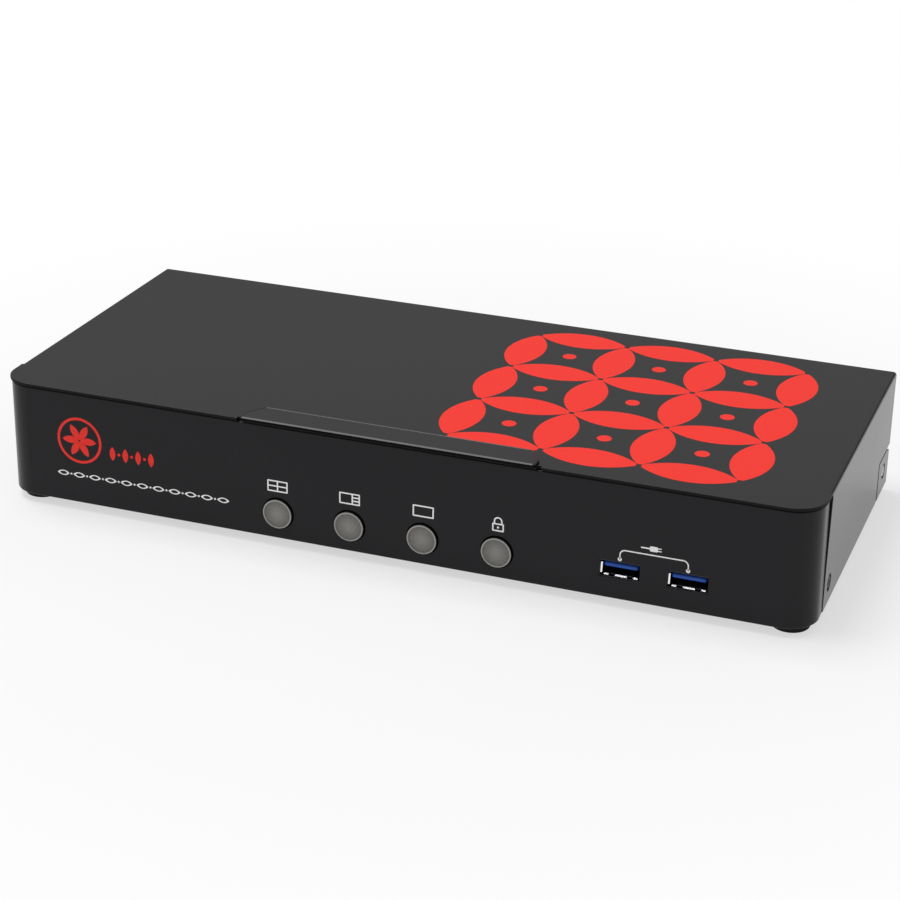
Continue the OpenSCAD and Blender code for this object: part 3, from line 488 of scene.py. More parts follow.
def soften(points, radii, steps=6):
    """Rounds each corner p of a polygon with a circle of radius r.

    With unit directions d1 and d2 to the neighbours and the corner's angle w, the arc's centre is
    p + (d1 + d2) / |d1 + d2| * r / sin(w / 2), and it starts and ends r / tan(w / 2) from p.
    """
    points = np.asarray(points, float)
    radii = np.broadcast_to(np.asarray(radii, float), len(points))[:, None]
    to_last, to_next = (unit(np.roll(points, shift, 0) - points) for shift in (1, -1))
    half = np.arccos(np.clip((to_last * to_next).sum(1, keepdims=True), -1, 1)) / 2
    centre = points + unit(to_last + to_next) * radii / np.sin(half)
    start, end = (points + way * radii / np.tan(half) - centre for way in (to_last, to_next))
    sweep = math.pi - 2 * half[:, None]
    share = np.linspace(0, 1, steps)[None, :, None]
    turned = np.sin((1 - share) * sweep) * start[:, None] + np.sin(share * sweep) * end[:, None]
    path = (centre[:, None] + turned / np.maximum(np.sin(sweep), 1e-9)).reshape(-1, 2)
    return path[np.linalg.norm(path - np.roll(path, 1, 0), axis=1) > 1e-4]


def between(low, high, radius=0.0, steps=5):
    """A rectangle between two corners, with round corners."""
    (x0, z0), (x1, z1) = low, high
    points = np.array([(x0, z0), (x1, z0), (x1, z1), (x0, z1)])
    return soften(points, radius, steps) if radius else points


def rectangle(centre, width, height, radius=0.0, steps=5):
    """A rectangle round a centre, with round corners."""
    half = np.array([width, height]) / 2
    return between(centre - half, centre + half, radius, steps)


def stroke(path, width):
    """Outline of a line of even width: both sides of the path, at half the width along its mitres."""
    path = np.asarray(path, float)
    normal = left_of(np.diff(path, axis=0))
    aside = mitre(np.concatenate([normal[:1], normal]), np.concatenate([normal, normal[-1:]]))
    return np.concatenate([path - aside * width / 2, (path + aside * width / 2)[::-1]])


def leaf(centre, span, turn, trim, steps=9):
    """A leaf between two arcs of a quarter circle each, turned by an angle in degrees.

    The arcs' radius is span / sqrt(2), so leaves along the sides of a square close circles.
    """
    radius = span / math.sqrt(2)
    swing = 45 * (1 - trim)
    lower, upper = (arc((0, side * span / 2), radius, turned - swing, turned + swing, steps)
                    for side, turned in ((1, 270), (-1, 90)))
    cosine, sine = math.cos(math.radians(turn)), math.sin(math.radians(turn))
    spin = np.array([[cosine, sine], [-sine, cosine]])
    return np.concatenate([lower, upper]) @ spin + np.array(centre)


# Surfaces


class Gathering:
    """Points and faces of several surfaces that make one piece."""

    def __init__(self):
        self.points, self.faces, self.count = [], [], 0

    def add(self, points, faces):
        self.points.append(np.asarray(points, float))
        self.faces += [tuple(i + self.count for i in face) for face in faces]
        self.count += len(points)
        return self

    def plate(self, shapes, origin, way):
        """Adds a plate, laid at origin + u across + v up + height (across x up)."""
        across, up = np.array(way, float)
        points, faces = plate(shapes)
        return self.add(np.array(origin) + points @ np.stack([across, up, np.cross(across, up)]), faces)

    def blocks(self, xs, half, y, z, edge=0.08):
        """Adds blocks with softened edges: half to both sides of each x, and between two y and two z."""
        shape = [(rectangle((0, 0), 2 * half, y[1] - y[0], edge * 1.5, 3),
                  round_edge(z[1] - z[0], edge, edge, 3))]
        for x in np.atleast_1d(xs):
            self.plate(shape, (x, (y[0] + y[1]) / 2, z[0]), TOP)
        return self

    def piece(self, name, coat, slot=None, replaces=(), body="case", weld=True):
        """Makes the object, closes its seams and poles, and lets it ride on its body.

        It is shaded smooth with normals weighed by area. The argument slot is not used.
        """
        mesh = bpy.data.meshes.new(name)
        mesh.from_pydata(np.concatenate(self.points) * MM, [], self.faces)
        if weld:
            shape = bmesh.new()
            shape.from_mesh(mesh)
            bmesh.ops.remove_doubles(shape, verts=shape.verts, dist=1e-7)
            shape.to_mesh(mesh)
            shape.free()
        mesh.polygons.foreach_set("use_smooth", np.ones(len(mesh.polygons), bool))
        mesh.materials.append(finish(coat))
        piece = bpy.data.objects.new(name, mesh)
        bpy.context.scene.collection.objects.link(piece)
        piece.modifiers.new("Even shading", "WEIGHTED_NORMAL").weight = 100
        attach(piece, body)
        if replaces:
            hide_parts(*replaces)
        return piece


def second_finish(piece, coat, choose):
    """Gives another finish to the faces that choose(centres, normals) picks out."""
    mesh = piece.data
    mesh.materials.append(finish(coat))
    centres, normals = np.zeros((2, len(mesh.polygons) * 3))
    mesh.polygons.foreach_get("center", centres)
    mesh.polygons.foreach_get("normal", normals)
    picked = choose(centres.reshape(-1, 3) / MM, normals.reshape(-1, 3))
    mesh.polygons.foreach_set("material_index", picked.astype(np.int32))


def grid_faces(rows, columns):
    """Quads of a grid of rows by columns whose last row joins the first."""
    here = np.arange(rows * columns).reshape(rows, columns)
    there = np.roll(here, -1, 0)
    return np.stack([here[:, :-1], here[:, 1:], there[:, 1:], there[:, :-1]], -1).reshape(-1, 4)


def lathe(profile, centre, along, steps=64):
    """Turns a profile of (radius, height) round an axis.

    A point is centre + radius (cos a * e1 + sin a * e2) + height * along, with e1, e2 and along
    at right angles. The profile runs from the near end's middle outwards and on to the far end.
    """
    along = np.array(along, float)
    first = np.array([0.0, 0.0, 1.0]) if abs(along[2]) < 0.5 else np.array([1.0, 0.0, 0.0])
    profile = np.asarray(profile, float)
    round_way = ring((0, 0), 1, steps) @ np.stack([first, np.cross(along, first)])
    points = np.array(centre) + profile[None, :, :1] * round_way[:, None] + profile[None, :, 1:] * along
    return points.reshape(-1, 3), grid_faces(steps, len(profile))[:, ::-1].tolist()


def tube(sections):
    """A skin over closed sections, (section, point, xyz), with a flat face at both ends."""
    steps, sides = sections.shape[:2]
    starts = np.arange(sides) * steps
    faces = grid_faces(sides, steps)[:, [0, 3, 2, 1]].tolist()
    faces += [starts[::-1].tolist(), (starts + steps - 1).tolist()]
    return np.swapaxes(sections, 0, 1).reshape(-1, 3), faces


def round_edge(thickness, upper, lower=None, steps=4):
    """Profile of a plate's edge as (inset, height), from the upper face to the lower one.

    The corner of radius r is a quarter circle: the inset is r (1 - sin a) and the height
    is thickness - r (1 - cos a).
    """
    lower = upper if lower is None else lower
    angle = np.linspace(0, math.pi / 2, steps)
    inset, drop = 1 - np.sin(angle), 1 - np.cos(angle)
    top = np.stack([upper * inset, thickness - upper * drop], 1)
    return np.concatenate([top, np.stack([lower * inset, lower * drop], 1)[::-1]])


def eased_step(t):
    """A level step from 0 to 1: 3 t^2 - 2 t^3, held at its ends."""
    t = np.clip(t, 0, 1)
    return t * t * (3 - 2 * t)


def eased(profile, cut):
    """An open profile with each bend cut back by a small length on both sides: flats stay flat."""
    profile = np.array(profile)
    way = unit(np.diff(profile, axis=0)) * cut
    bends = np.stack([profile[1:-1] - way[:-1], profile[1:-1] + way[1:]], 1)
    return np.concatenate([profile[:1], bends.reshape(-1, 2), profile[-1:]])


def split_at(outline, lines, beyond):
    """Adds the points where an outline crosses the lines u = c. Returns it with each point's line.

    Only what lies past v = beyond is looked at.
    """
    run = np.roll(outline, -1, 0) - outline
    lines = np.asarray(lines, float)
    with np.errstate(divide="ignore", invalid="ignore"):
        share = (lines[None] - outline[:, :1]) / run[:, :1]
    edge, line = np.nonzero((share > 1e-6) & (share < 1 - 1e-6) & (np.abs(run[:, :1]) > 1e-6))
    extra = outline[edge] + share[edge, line][:, None] * run[edge]
    extra[:, 0] = lines[line]
    past = extra[:, 1] > beyond
    edge, line, extra = edge[past], line[past], extra[past]
    on_line = (np.abs(outline[:, :1] - lines[None]) < 1e-5) & (outline[:, 1:] > beyond)
    own = np.where(on_line.any(1), on_line.argmax(1), -1) if len(lines) else -np.ones(len(outline), int)
    order = np.argsort(np.concatenate([np.arange(len(outline)), edge + share[edge, line]]), kind="stable")
    return np.concatenate([outline, extra])[order], np.concatenate([own, line])[order]


def cross_2d(first, second):
    return first[..., 0] * second[..., 1] - first[..., 1] * second[..., 0]


def inside(points, outlines):
    """Which points lie inside the outlines, by the number of edges that a ray to the right meets."""
    count = np.zeros(len(points), int)
    for outline in outlines:
        run = np.roll(outline, -1, 0) - outline
        rise = points[:, 1:] - outline[None, :, 1]
        with np.errstate(divide="ignore", invalid="ignore"):
            at = outline[None, :, 0] + rise * (run[None, :, 0] / run[None, :, 1])
        count += (((rise < 0) != (rise < run[None, :, 1])) & (at > points[:, :1])).sum(1)
    return count % 2 == 1


def filling(rims, marks, points, count, side):
    """Triangles over a plate's flat face, from its rims' point numbers.

    They keep to the rims and to the bend lines, whose points marks names.
    """
    ids = np.concatenate(rims)
    flat = points[ids, :2]
    sizes = np.cumsum([len(rim) for rim in rims])
    bounds = np.split(flat, sizes[:-1])
    numbers = np.split(np.arange(len(flat)), sizes[:-1])
    edges = np.concatenate([np.stack([rim, np.roll(rim, -1)], 1) for rim in numbers]).tolist()
    for number in range(count):
        on_it = np.nonzero(marks == number)[0]
        on_it = on_it[np.argsort(flat[on_it, 1])]
        pairs = np.stack([on_it[:-1], on_it[1:]], 1)
        edges += pairs[inside(flat[pairs].mean(1), bounds)].tolist()
    spots, _, triangles, origins, *_ = delaunay_2d_cdt(flat.tolist(), edges, [], 0, 1e-6)
    if not all(origins):
        raise RuntimeError("a plate's outlines cross each other")
    corners = np.array([tuple(spot) for spot in spots])[np.array(triangles)]
    kept = inside(corners.mean(1), bounds)
    corners, triangles = corners[kept], np.array(triangles)[kept]
    turn = cross_2d(corners[:, 1] - corners[:, 0], corners[:, 2] - corners[:, 0])
    flip = (turn < 0) != (side == 1)
    triangles[flip] = triangles[flip][:, ::-1]
    return ids[np.array([origin[0] for origin in origins])[triangles]].tolist()


def plate(shapes, lines=(), beyond=-math.inf):
    """A flat plate with shaped edges, in (u, v, height).

    shapes holds (outline, profile) pairs, the outer one first and the holes after it. Point j of a
    profile lies at outline + inset_j * mitre and at height_j. Both faces are filled with triangles
    that keep to the outlines and, past v = beyond, to the lines u = c where the plate will be bent.
    """
    points, faces, rims, marks, start = [], [], [], [], 0
    for number, (outline, profile) in enumerate(shapes):
        if (cross_2d(outline, np.roll(outline, -1, 0)).sum() < 0) != (number > 0):
            outline = outline[::-1]
        outline, line = split_at(outline, lines, beyond)
        left = left_of(np.roll(outline, -1, 0) - outline)
        inward = mitre(np.roll(left, 1, 0), left)
        profile = np.asarray(profile, float)
        flat = outline[:, None] + profile[None, :, :1] * inward[:, None]
        height = np.broadcast_to(profile[:, 1], (len(outline), len(profile)))[..., None]
        points.append(np.concatenate([flat, height], -1).reshape(-1, 3))
        faces += (grid_faces(len(outline), len(profile)) + start).tolist()
        columns = np.arange(len(outline)) * len(profile) + start
        rims.append((columns, columns + len(profile) - 1))
        marks.append(line)
        start += len(outline) * len(profile)
    points, marks = np.concatenate(points), np.concatenate(marks)
    for side in (0, 1):
        faces += filling([rim[side] for rim in rims], marks, points, len(lines), side)
    return points, faces


def both_sides(lines):
    return np.concatenate([-lines[::-1], lines])


def fold(points, half, radius, thickness, bent=True):
    """Bends a plate down on both sides. Returns (across, along, down from the outer face).

    With a = half - radius and s = |u|, the turn is (s - a) / radius, up to a quarter turn. A point
    at depth w goes to across = a + (radius - w) sin(turn), down = radius - (radius - w) cos(turn),
    and what lies past the bend runs straight down.
    """
    u, v, height = points.T
    past = np.where(bent, np.maximum(np.abs(u) - half + radius, 0), 0)
    turn = np.minimum(past / radius, math.pi / 2)
    reach = radius - (thickness - height)
    across = np.abs(u) - past + reach * np.sin(turn)
    down = radius - reach * np.cos(turn) + np.maximum(past - radius * math.pi / 2, 0)
    return np.stack([np.sign(u) * across, v, down], 1)


FRONT = ((1, 0, 0), (0, 0, 1))
REAR = ((-1, 0, 0), (0, 0, 1))
TOP = ((1, 0, 0), (0, 1, 0))


# Pieces


def button_places():
    """Middle of each button's front, from the caps' own boxes."""
    caps = [Span(name) for name in numbered("button_cap")]
    return [(cap.middle[0], cap.low[1], cap.middle[2]) for cap in caps]


class SWITCHBOX_OT_cover(bpy.types.Operator):
    """Top cover: a flat sheet with a rounded front, bent down into two side skirts"""

    bl_idname = "switchbox.cover"
    bl_label = "Cover"

    def execute(self, context):
        size = sizes("casing")
        start = half_width - size.bend
        end = start + size.bend * math.pi / 2

        def flat_u(z):
            return end + top_z - size.bend - z

        front, skirt, slit = cover.low[1], seam_y + size.seam_gap, 0.15
        tip, nick, nick_depth = visor.high[0], 1.5, 1.3
        taper_u, base_u, notch_u = (
            flat_u(base_z + height) for height in (size.seam_taper, 0, size.notch_height))
        notch_y = rear_y - size.notch_length
        right = [
            (tip, front, 0), (tip, front + nick_depth, 0.3), (tip + nick, front + nick_depth, 0.3),
            (tip + nick, front, 0.2), (half_width, front, size.corner),
            (half_width, skirt - slit, 0.3), (start, skirt - slit, 0), (start, skirt, 0),
            (end, skirt, 0), (end, seam_y + size.seam_opening, 0.4), (taper_u, skirt, 2),
            (base_u, skirt, 0.6), (base_u, notch_y, 0.6), (notch_u, notch_y, 1),
            (notch_u, rear_y, 0.6)]
        spec = np.array(right + [(-u, v, radius) for u, v, radius in right[::-1]])
        shapes = [(soften(spec[:, :2], spec[:, 2], 12), round_edge(size.sheet, size.edge))]
        screw = Span("cover_screws")
        cone = [(0, size.sheet), (-0.02, size.sheet - 0.02), (-0.95 * size.sheet, 0.05),
                (-0.95 * size.sheet, 0)]
        shapes += [(ring((side * flat_u(screw.middle[2]), screw.middle[1]), screw.size[2] / 2 + 0.3),
                    cone) for side in (-1, 1)]
        leg_y = visor.high[1] - LEG_FROM_REAR + LEG_THICK / 2
        shapes += [(rectangle((x, leg_y), 2 * LEG_HALF + 0.3, LEG_THICK + 0.3, 0.3),
                    round_edge(size.sheet, 0.05)) for x in LEG_XS]
        lines = both_sides(np.linspace(start, end, 9))
        points, faces = plate(shapes, lines, skirt - slit / 2)
        folded = fold(points, half_width, size.bend, size.sheet, points[:, 1] > skirt - slit / 2)
        folded[:, 2] = top_z - folded[:, 2]
        made = Gathering().add(folded, faces)
        hook_xs, hook_y, hook_end = (-80, 80), panel_y - 8 - 2 * size.sheet, panel_y - 2 - 2 * size.sheet
        under = top_z - 2 * size.sheet - 0.1
        made.blocks(hook_xs, 6, (hook_y, hook_y + size.sheet), (under - size.sheet, top_z - size.sheet))
        made.blocks(hook_xs, 6, (hook_y + size.sheet, hook_end), (under - size.sheet, under))
        sheet = made.piece("cover", "cover_paint", replaces=["top_cover"])
        # Painted shade: the cover's front cut edge gets the darker, shaded copy of its paint
        second_finish(sheet, "cut_edge", lambda centres, normals:
                      (centres[:, 1] < seam_y) & (np.abs(normals[:, 2]) < 0.6))
        return {"FINISHED"}


class SWITCHBOX_OT_bezel(bpy.types.Operator):
    """Front bezel: a moulded wall carried round both front corners, with its cut-outs and bosses"""

    bl_idname = "switchbox.bezel"
    bl_label = "Bezel"

    def execute(self, context):
        size, caps = sizes("casing"), sizes("buttons")
        half = bezel.high[0]
        radius = size.corner - (half_width - half)
        start, quarter = half - radius, radius * math.pi / 2
        end = start + quarter + (seam_y - face_y - radius)
        shapes = [(between((-end, base_z), (end, size.bezel_top)),
                   round_edge(size.wall, size.bezel_edge, 0.2, 5))]
        shapes += [(ring((x, z), caps.radius + caps.gap, 64), round_edge(size.wall, 0.18, 0.08))
                   for x, _, z in button_places()]
        lip = np.array([(-0.18, 0), (-0.3, -0.04), (-0.38, -0.14), (-0.38, -0.5), (0, -0.5),
                        (0, -size.wall)]) + (0, size.wall)
        sockets = [Span(name) for name in numbered("front_usb_shell", 2)]
        for shell in sockets:
            shapes.append((rectangle((shell.middle[0], shell.middle[2] + 0.15), shell.size[0] + 0.3,
                                     shell.size[2] + 0.6, 0.35), lip))
        points, faces = plate(shapes, both_sides(np.linspace(start, start + quarter, 21)))
        folded = fold(points, half, radius, size.wall)
        wall = np.stack([folded[:, 0], face_y + folded[:, 2], folded[:, 1]], 1)
        back = eased_step((wall[:, 1] - face_y) / (seam_y - face_y) / 0.75)
        taper_z = base_z + size.seam_taper
        high = np.clip((wall[:, 2] - taper_z) / (size.bezel_top - taper_z), 0, 1)
        tuck = np.clip((wall[:, 1] - seam_y) / 4 + 1, 0, 1) ** 2
        wall[:, 0] += np.sign(wall[:, 0]) * (size.side_flare * back * (1 - high) - size.tuck * tuck)
        made = Gathering().add(wall, faces)

        inner, floor_z, under = face_y + size.wall, base_z + size.sheet, top_z - size.sheet
        post_height = 10
        post = [(1.6, 0), (3.6, 0), (3.6, post_height - 0.3), (3.3, post_height), (1.6, post_height),
                (1.6, 0)]
        screws = Span("bezel_screws")
        screw_y = screws.middle[1]
        xs = both_sides(np.array([12.6 - sockets[0].middle[0], screws.high[0] - screws.size[1] / 2])
                        * (-1, 1))
        made.blocks(xs, 5, (inner - 0.05, inner + 3), (under - 4, under), 0.25)
        made.blocks(xs, 1, (inner - 0.05, screw_y - 3.5), (floor_z, floor_z + post_height), 0.2)
        for x in xs:
            made.add(*lathe(post, (x, screw_y, floor_z), (0, 0, 1), 40))
        screws = Span("button_board_screws")
        deep = Span("button_board").low[1] - inner
        boss = [(1.2, 0), (2.8, 0), (2.8, deep - 0.2), (2.6, deep), (1.2, deep), (1.2, 0)]
        for x in (screws.low[0] + screws.size[2] / 2, screws.high[0] - screws.size[2] / 2):
            made.add(*lathe(boss, (x, inner - 0.05, screws.middle[2]), (0, 1, 0), 40))
        made.piece("bezel", "bezel_plastic", replaces=["front_bezel"])
        return {"FINISHED"}


class SWITCHBOX_OT_visor(bpy.types.Operator):
    """Visor on the cover: a thin plate with chamfered rear corners and two snap legs"""

    bl_idname = "switchbox.visor"
    bl_label = "Visor"

    def execute(self, context):
        size = sizes("casing")
        half, back, top = visor.high
        front, thick, bevel = visor.low[1], top - top_z, size.visor_edge
        chamfer_x, chamfer_y = 4.4, 6.3
        outline = soften([(-half, front), (half, front), (half, back - chamfer_y),
                          (half - chamfer_x, back), (chamfer_x - half, back),
                          (-half, back - chamfer_y)], 0.9, 5)
        rim = eased([(0.85, thick - 0.12), (0.8, thick - 0.12), (0.63, thick), (bevel, thick),
                     (0, thick - 0.65 * bevel), (0, 0.08), (0.08, 0)], 0.02)
        made = Gathering().plate([(outline, rim)], (0, 0, top_z), TOP)
        leg_y, leg_z = back - LEG_FROM_REAR, visor.low[2]
        made.blocks(LEG_XS, LEG_HALF, (leg_y, leg_y + LEG_THICK), (leg_z, top_z), 0.15)
        made.blocks(LEG_XS, LEG_HALF, (leg_y + LEG_THICK - 0.2, leg_y + LEG_THICK + 0.5),
                    (leg_z, top_z - size.sheet - 0.15), 0.15)
        plastic = made.piece("visor", "visor_plastic", replaces=["top_visor"])
        # Painted shade: the visor's upright faces (front, sides and legs) get the darker, shaded copy of
        # its plastic
        second_finish(plastic, "visor_side", lambda centres, normals: np.abs(normals[:, 2]) < 0.4)
        return {"FINISHED"}


class SWITCHBOX_OT_side_screws(bpy.types.Operator):
    """Screws of the sides: raised countersunk heads with a cross recess, level with the skirts"""

    bl_idname = "switchbox.side_screws"
    bl_label = "Side screws"

    def execute(self, context):
        rim, curve, thick = 2.45, 3.3, 1.2
        across = np.linspace(1.4, rim, 8)
        drop = np.sqrt(curve ** 2 - across[0] ** 2) - np.sqrt(curve ** 2 - across ** 2)
        dome = np.concatenate([np.stack([rim - across, thick - drop], 1),
                               [(0.03, thick - drop[-1] - 0.04), (0.85, 0)]])
        arm, half = 1.25, 0.3
        cross = np.array([(arm, -half), (arm, half), (half, half), (half, arm), (-half, arm),
                          (-half, half), (-arm, half), (-arm, -half), (-half, -half), (-half, -arm),
                          (half, -arm), (half, -half)])
        recess = [(0.03, thick), (0, thick - 0.03), (-0.1, 0.4), (-0.1, 0)]
        shank = [(0, -3.6), (1.2, -3.6), (1.5, -3.2), (1.5, 0.1), (0, 0.1)]
        for name, coat in (("cover_screws", "black_steel"), ("panel_screws", "bright_steel")):
            _, y, z = Span(name).middle
            made = Gathering()
            for side in (-1, 1):
                base = (side * (half_width - thick), y, z)
                made.plate([(ring((0, 0), rim, 40), dome), (cross, recess)], base,
                           ((0, side, 0), (0, 0, 1)))
                made.add(*lathe(shank, base, (side, 0, 0), 32))
            made.piece(name.replace("screws", "screw_heads"), coat, replaces=[name])
        return {"FINISHED"}


class SWITCHBOX_OT_caps(bpy.types.Operator):
    """Button caps: turned faces with a shallow dish, a flange behind the bezel and a stem"""

    bl_idname = "switchbox.caps"
    bl_label = "Button caps"

    def execute(self, context):
        caps = sizes("buttons")
        r, inner, rounding = caps.radius, caps.radius - caps.rim - 0.5, 0.35
        share = np.linspace(0, 1, 9)
        dish = np.stack([inner * share, caps.dish * (1 - 0.35 * share ** 2)], 1)
        lip = np.stack([inner + 0.5 * share, caps.dish * 0.65 * (1 - np.sin(share * math.pi / 2))], 1)
        angle = np.linspace(0, math.pi / 2, 7)
        edge = np.stack([r - rounding * (1 - np.sin(angle)), rounding * (1 - np.cos(angle))], 1)
        for number, (x, front, z) in enumerate(button_places(), 1):
            node = f"button_cap_{number}"
            width, end, _ = Span(node).size
            flange = width / 2
            back = face_y + sizes("casing").wall + 1.1 - front
            rest = [(r, back - 1.05), (r + 0.05, back - 1), (flange - 0.1, back - 1),
                    (flange, back - 0.9), (flange, back - 0.1), (flange - 0.1, back), (r - 1.2, back),
                    (r - 1.3, back - 0.1), (r - 1.3, 1.5), (r - 1.4, 1.4), (1.55, 1.4), (1.5, 1.5),
                    (1.5, end - 0.1), (1.4, end), (0, end)]
            profile = np.concatenate([dish, lip[1:], edge, rest])
            made = Gathering().add(*lathe(profile, (x, front, z), (0, 1, 0), 72))
            cap = made.piece(f"cap_{number}", "cap_plastic", replaces=[node], body=f"button_{number}")
            spots = np.zeros(len(cap.data.vertices) * 3)
            cap.data.vertices.foreach_get("co", spots)
            off_axis = np.hypot(spots[0::3] / MM - x, spots[2::3] / MM - z) / r
            cap.data.attributes.new("ring", "FLOAT", "POINT").data.foreach_set("value", off_axis)
        return {"FINISHED"}


def leaf_spring(x, z, side, front, steps=14):
    """A spring of a socket's shell: a strip whose middle bows into the opening.

    The strip's middle line lies at z - side * lift * sin(pi t)^1.4 for t from 0 to 1 along its length.
    """
    share = np.linspace(0, 1, steps)
    bow = np.sin(math.pi * share)
    across = np.array([-1, -0.8, 0.8, 1, 1, 0.8, -0.8, -1])
    over = 0.2 * np.array([0.3, 0.5, 0.5, 0.3, -0.3, -0.5, -0.5, -0.3])
    middle = np.stack([np.full(steps, x), front + 0.7 + 6.5 * share,
                       z - side * (0.75 * bow ** 1.4 + 0.05)], 1)
    width = (0.9 + 0.15 * bow)[:, None] * across
    return tube(middle[:, None] + np.stack([width, np.zeros_like(width), over + 0 * width], -1))


def flare(foot, along, inward_way, across, rise, reach):
    """A lip rolled at a socket's mouth: it rises from the wall as rise * sin(pi t / 2)^2.

    t runs over reach from the mouth inwards, and the lip is across wide along the wall.
    """
    along, inward_way = np.array(along, float), np.array(inward_way, float)
    share = np.linspace(0, 1, 7)[:, None, None]
    lift = (rise * np.sin(share * math.pi / 2) ** 2 + 0.02) * np.array([0.9, 1, 1, 0.9])[:, None]
    end = across * np.array([0.5, 0.46, -0.46, -0.5])[:, None]
    upper = np.array(foot) + end * along + (0.25 + reach * share) * (0, 1, 0) + lift * inward_way
    return tube(np.concatenate([upper[:, ::-1], upper - 0.12 * inward_way], 1))


class SWITCHBOX_OT_front_sockets(bpy.types.Operator):
    """Front sockets: folded shells with leaf springs, and blue tongues with contacts"""

    bl_idname = "switchbox.front_sockets"
    bl_label = "Front sockets"

    def execute(self, context):
        shell = 0.3
        for number in (1, 2):
            node, insert = Span(f"front_usb_shell_{number}"), Span(f"front_usb_insert_{number}")
            x, _, z = node.middle
            width, depth, height = node.size
            front, origin = node.low[1], (0, node.high[1], 0)
            rim = round_edge(depth, 0.09, 0.05)
            outer = rectangle((x, z), width, height, 0.6)
            inner = rectangle((x, z), width - 2 * shell, height - 2 * shell, 0.35)
            back = rectangle((x, z), width - 0.1, height - 0.1, 0.5)
            made = Gathering().plate([(outer, rim), (inner, rim)], origin, FRONT)
            made.plate([(back, round_edge(shell, 0.05))], origin, FRONT)
            for side in (-1, 1):
                level = z + side * (height / 2 - shell)
                for offset in (-2.9, 2.9):
                    made.add(*leaf_spring(x + offset, level, side, front + 1.0))
            # Painted shade: the shell and its springs get a darkened copy of their steel
            made.piece(f"front_shell_{number}", "blackened_steel", "socket_metal",
                       [f"front_usb_shell_{number}"])

            made = Gathering()
            floor = z - height / 2 + shell + 0.3
            for offset, across in ((-4.3, 1.5), (0.3, 3.8), (4.8, 1.4)):
                made.add(*flare((x + offset, front, floor), (1, 0, 0), (0, 0, 1), across, 0.4, 0.5))
            made.add(*flare((x - width / 2 + shell + 0.2, front, z), (0, -0.12, -1), (1, 0, 0),
                            3.5, 0.5, 0.22))
            # Painted highlight: the lips get the brighter, lit copy of the shell's steel
            made.piece(f"front_lips_{number}", "bright_lip", "socket_metal")

            tongue_half, tongue_thick = 5.55, 1.55
            top = z + height / 2 - shell - 0.95
            under, nose = top - tongue_thick, insert.low[1]
            body = nose + 8.5
            made = Gathering().blocks(x, tongue_half, (nose, body + 0.1), (under, top), 0.6)
            made.piece(f"front_tongue_{number}", "socket_blue", replaces=[f"front_usb_insert_{number}"])
            # Painted shade: the insert's body, blue plastic like the tongue, gets the black finish
            # because it lies deep in shade
            made = Gathering().blocks(insert.middle[0], insert.size[0] / 2, (body, insert.high[1]),
                                      (insert.low[2], insert.high[2]), 0.1)
            made.piece(f"front_body_{number}", "socket_black", "socket_blue")
            made = Gathering().blocks(x + FOUR_CONTACTS, 0.5, (nose + 0.9, body - 0.3),
                                      (under - 0.08, under + 0.1), 0.04)
            made.blocks(x + np.arange(-4, 5, 2), 0.3, (nose + 3.4, nose + 4.4),
                        (under - 0.2, under + 0.1), 0.03)
            made.piece(f"front_contacts_{number}", "contact_gold", "socket_metal")
        return {"FINISHED"}


def printed(name, coat, slot, shapes, origin, way):
    """A piece of ink films on a flat face. Each shape is an outline and its holes."""
    thick = sizes("prints").ink
    edge = round_edge(thick, min(thick * 0.4, 0.012), 0, 2)
    made = Gathering()
    for outlines in shapes:
        made.plate([(outline, edge) for outline in outlines], origin, way)
    made.piece(name, coat, slot, weld=False)


def openings(low, high, columns, rows, line):
    """The openings of a grid drawn with a line between two corners."""
    low, count = np.array(low), np.array([columns, rows])
    size = (np.array(high) - low - line * (count + 1)) / count
    return [rectangle(low + line + size / 2 + index * (size + line), *size)
            for index in (np.array(pair) for pair in np.ndindex(columns, rows))]


def outlined(low, high, line):
    """A rectangle drawn with a line: its outer and inner outline."""
    low, high = np.array(low), np.array(high)
    return [between(low, high, 0.25, 4), between(low + line, high - line, 0.05, 2)]


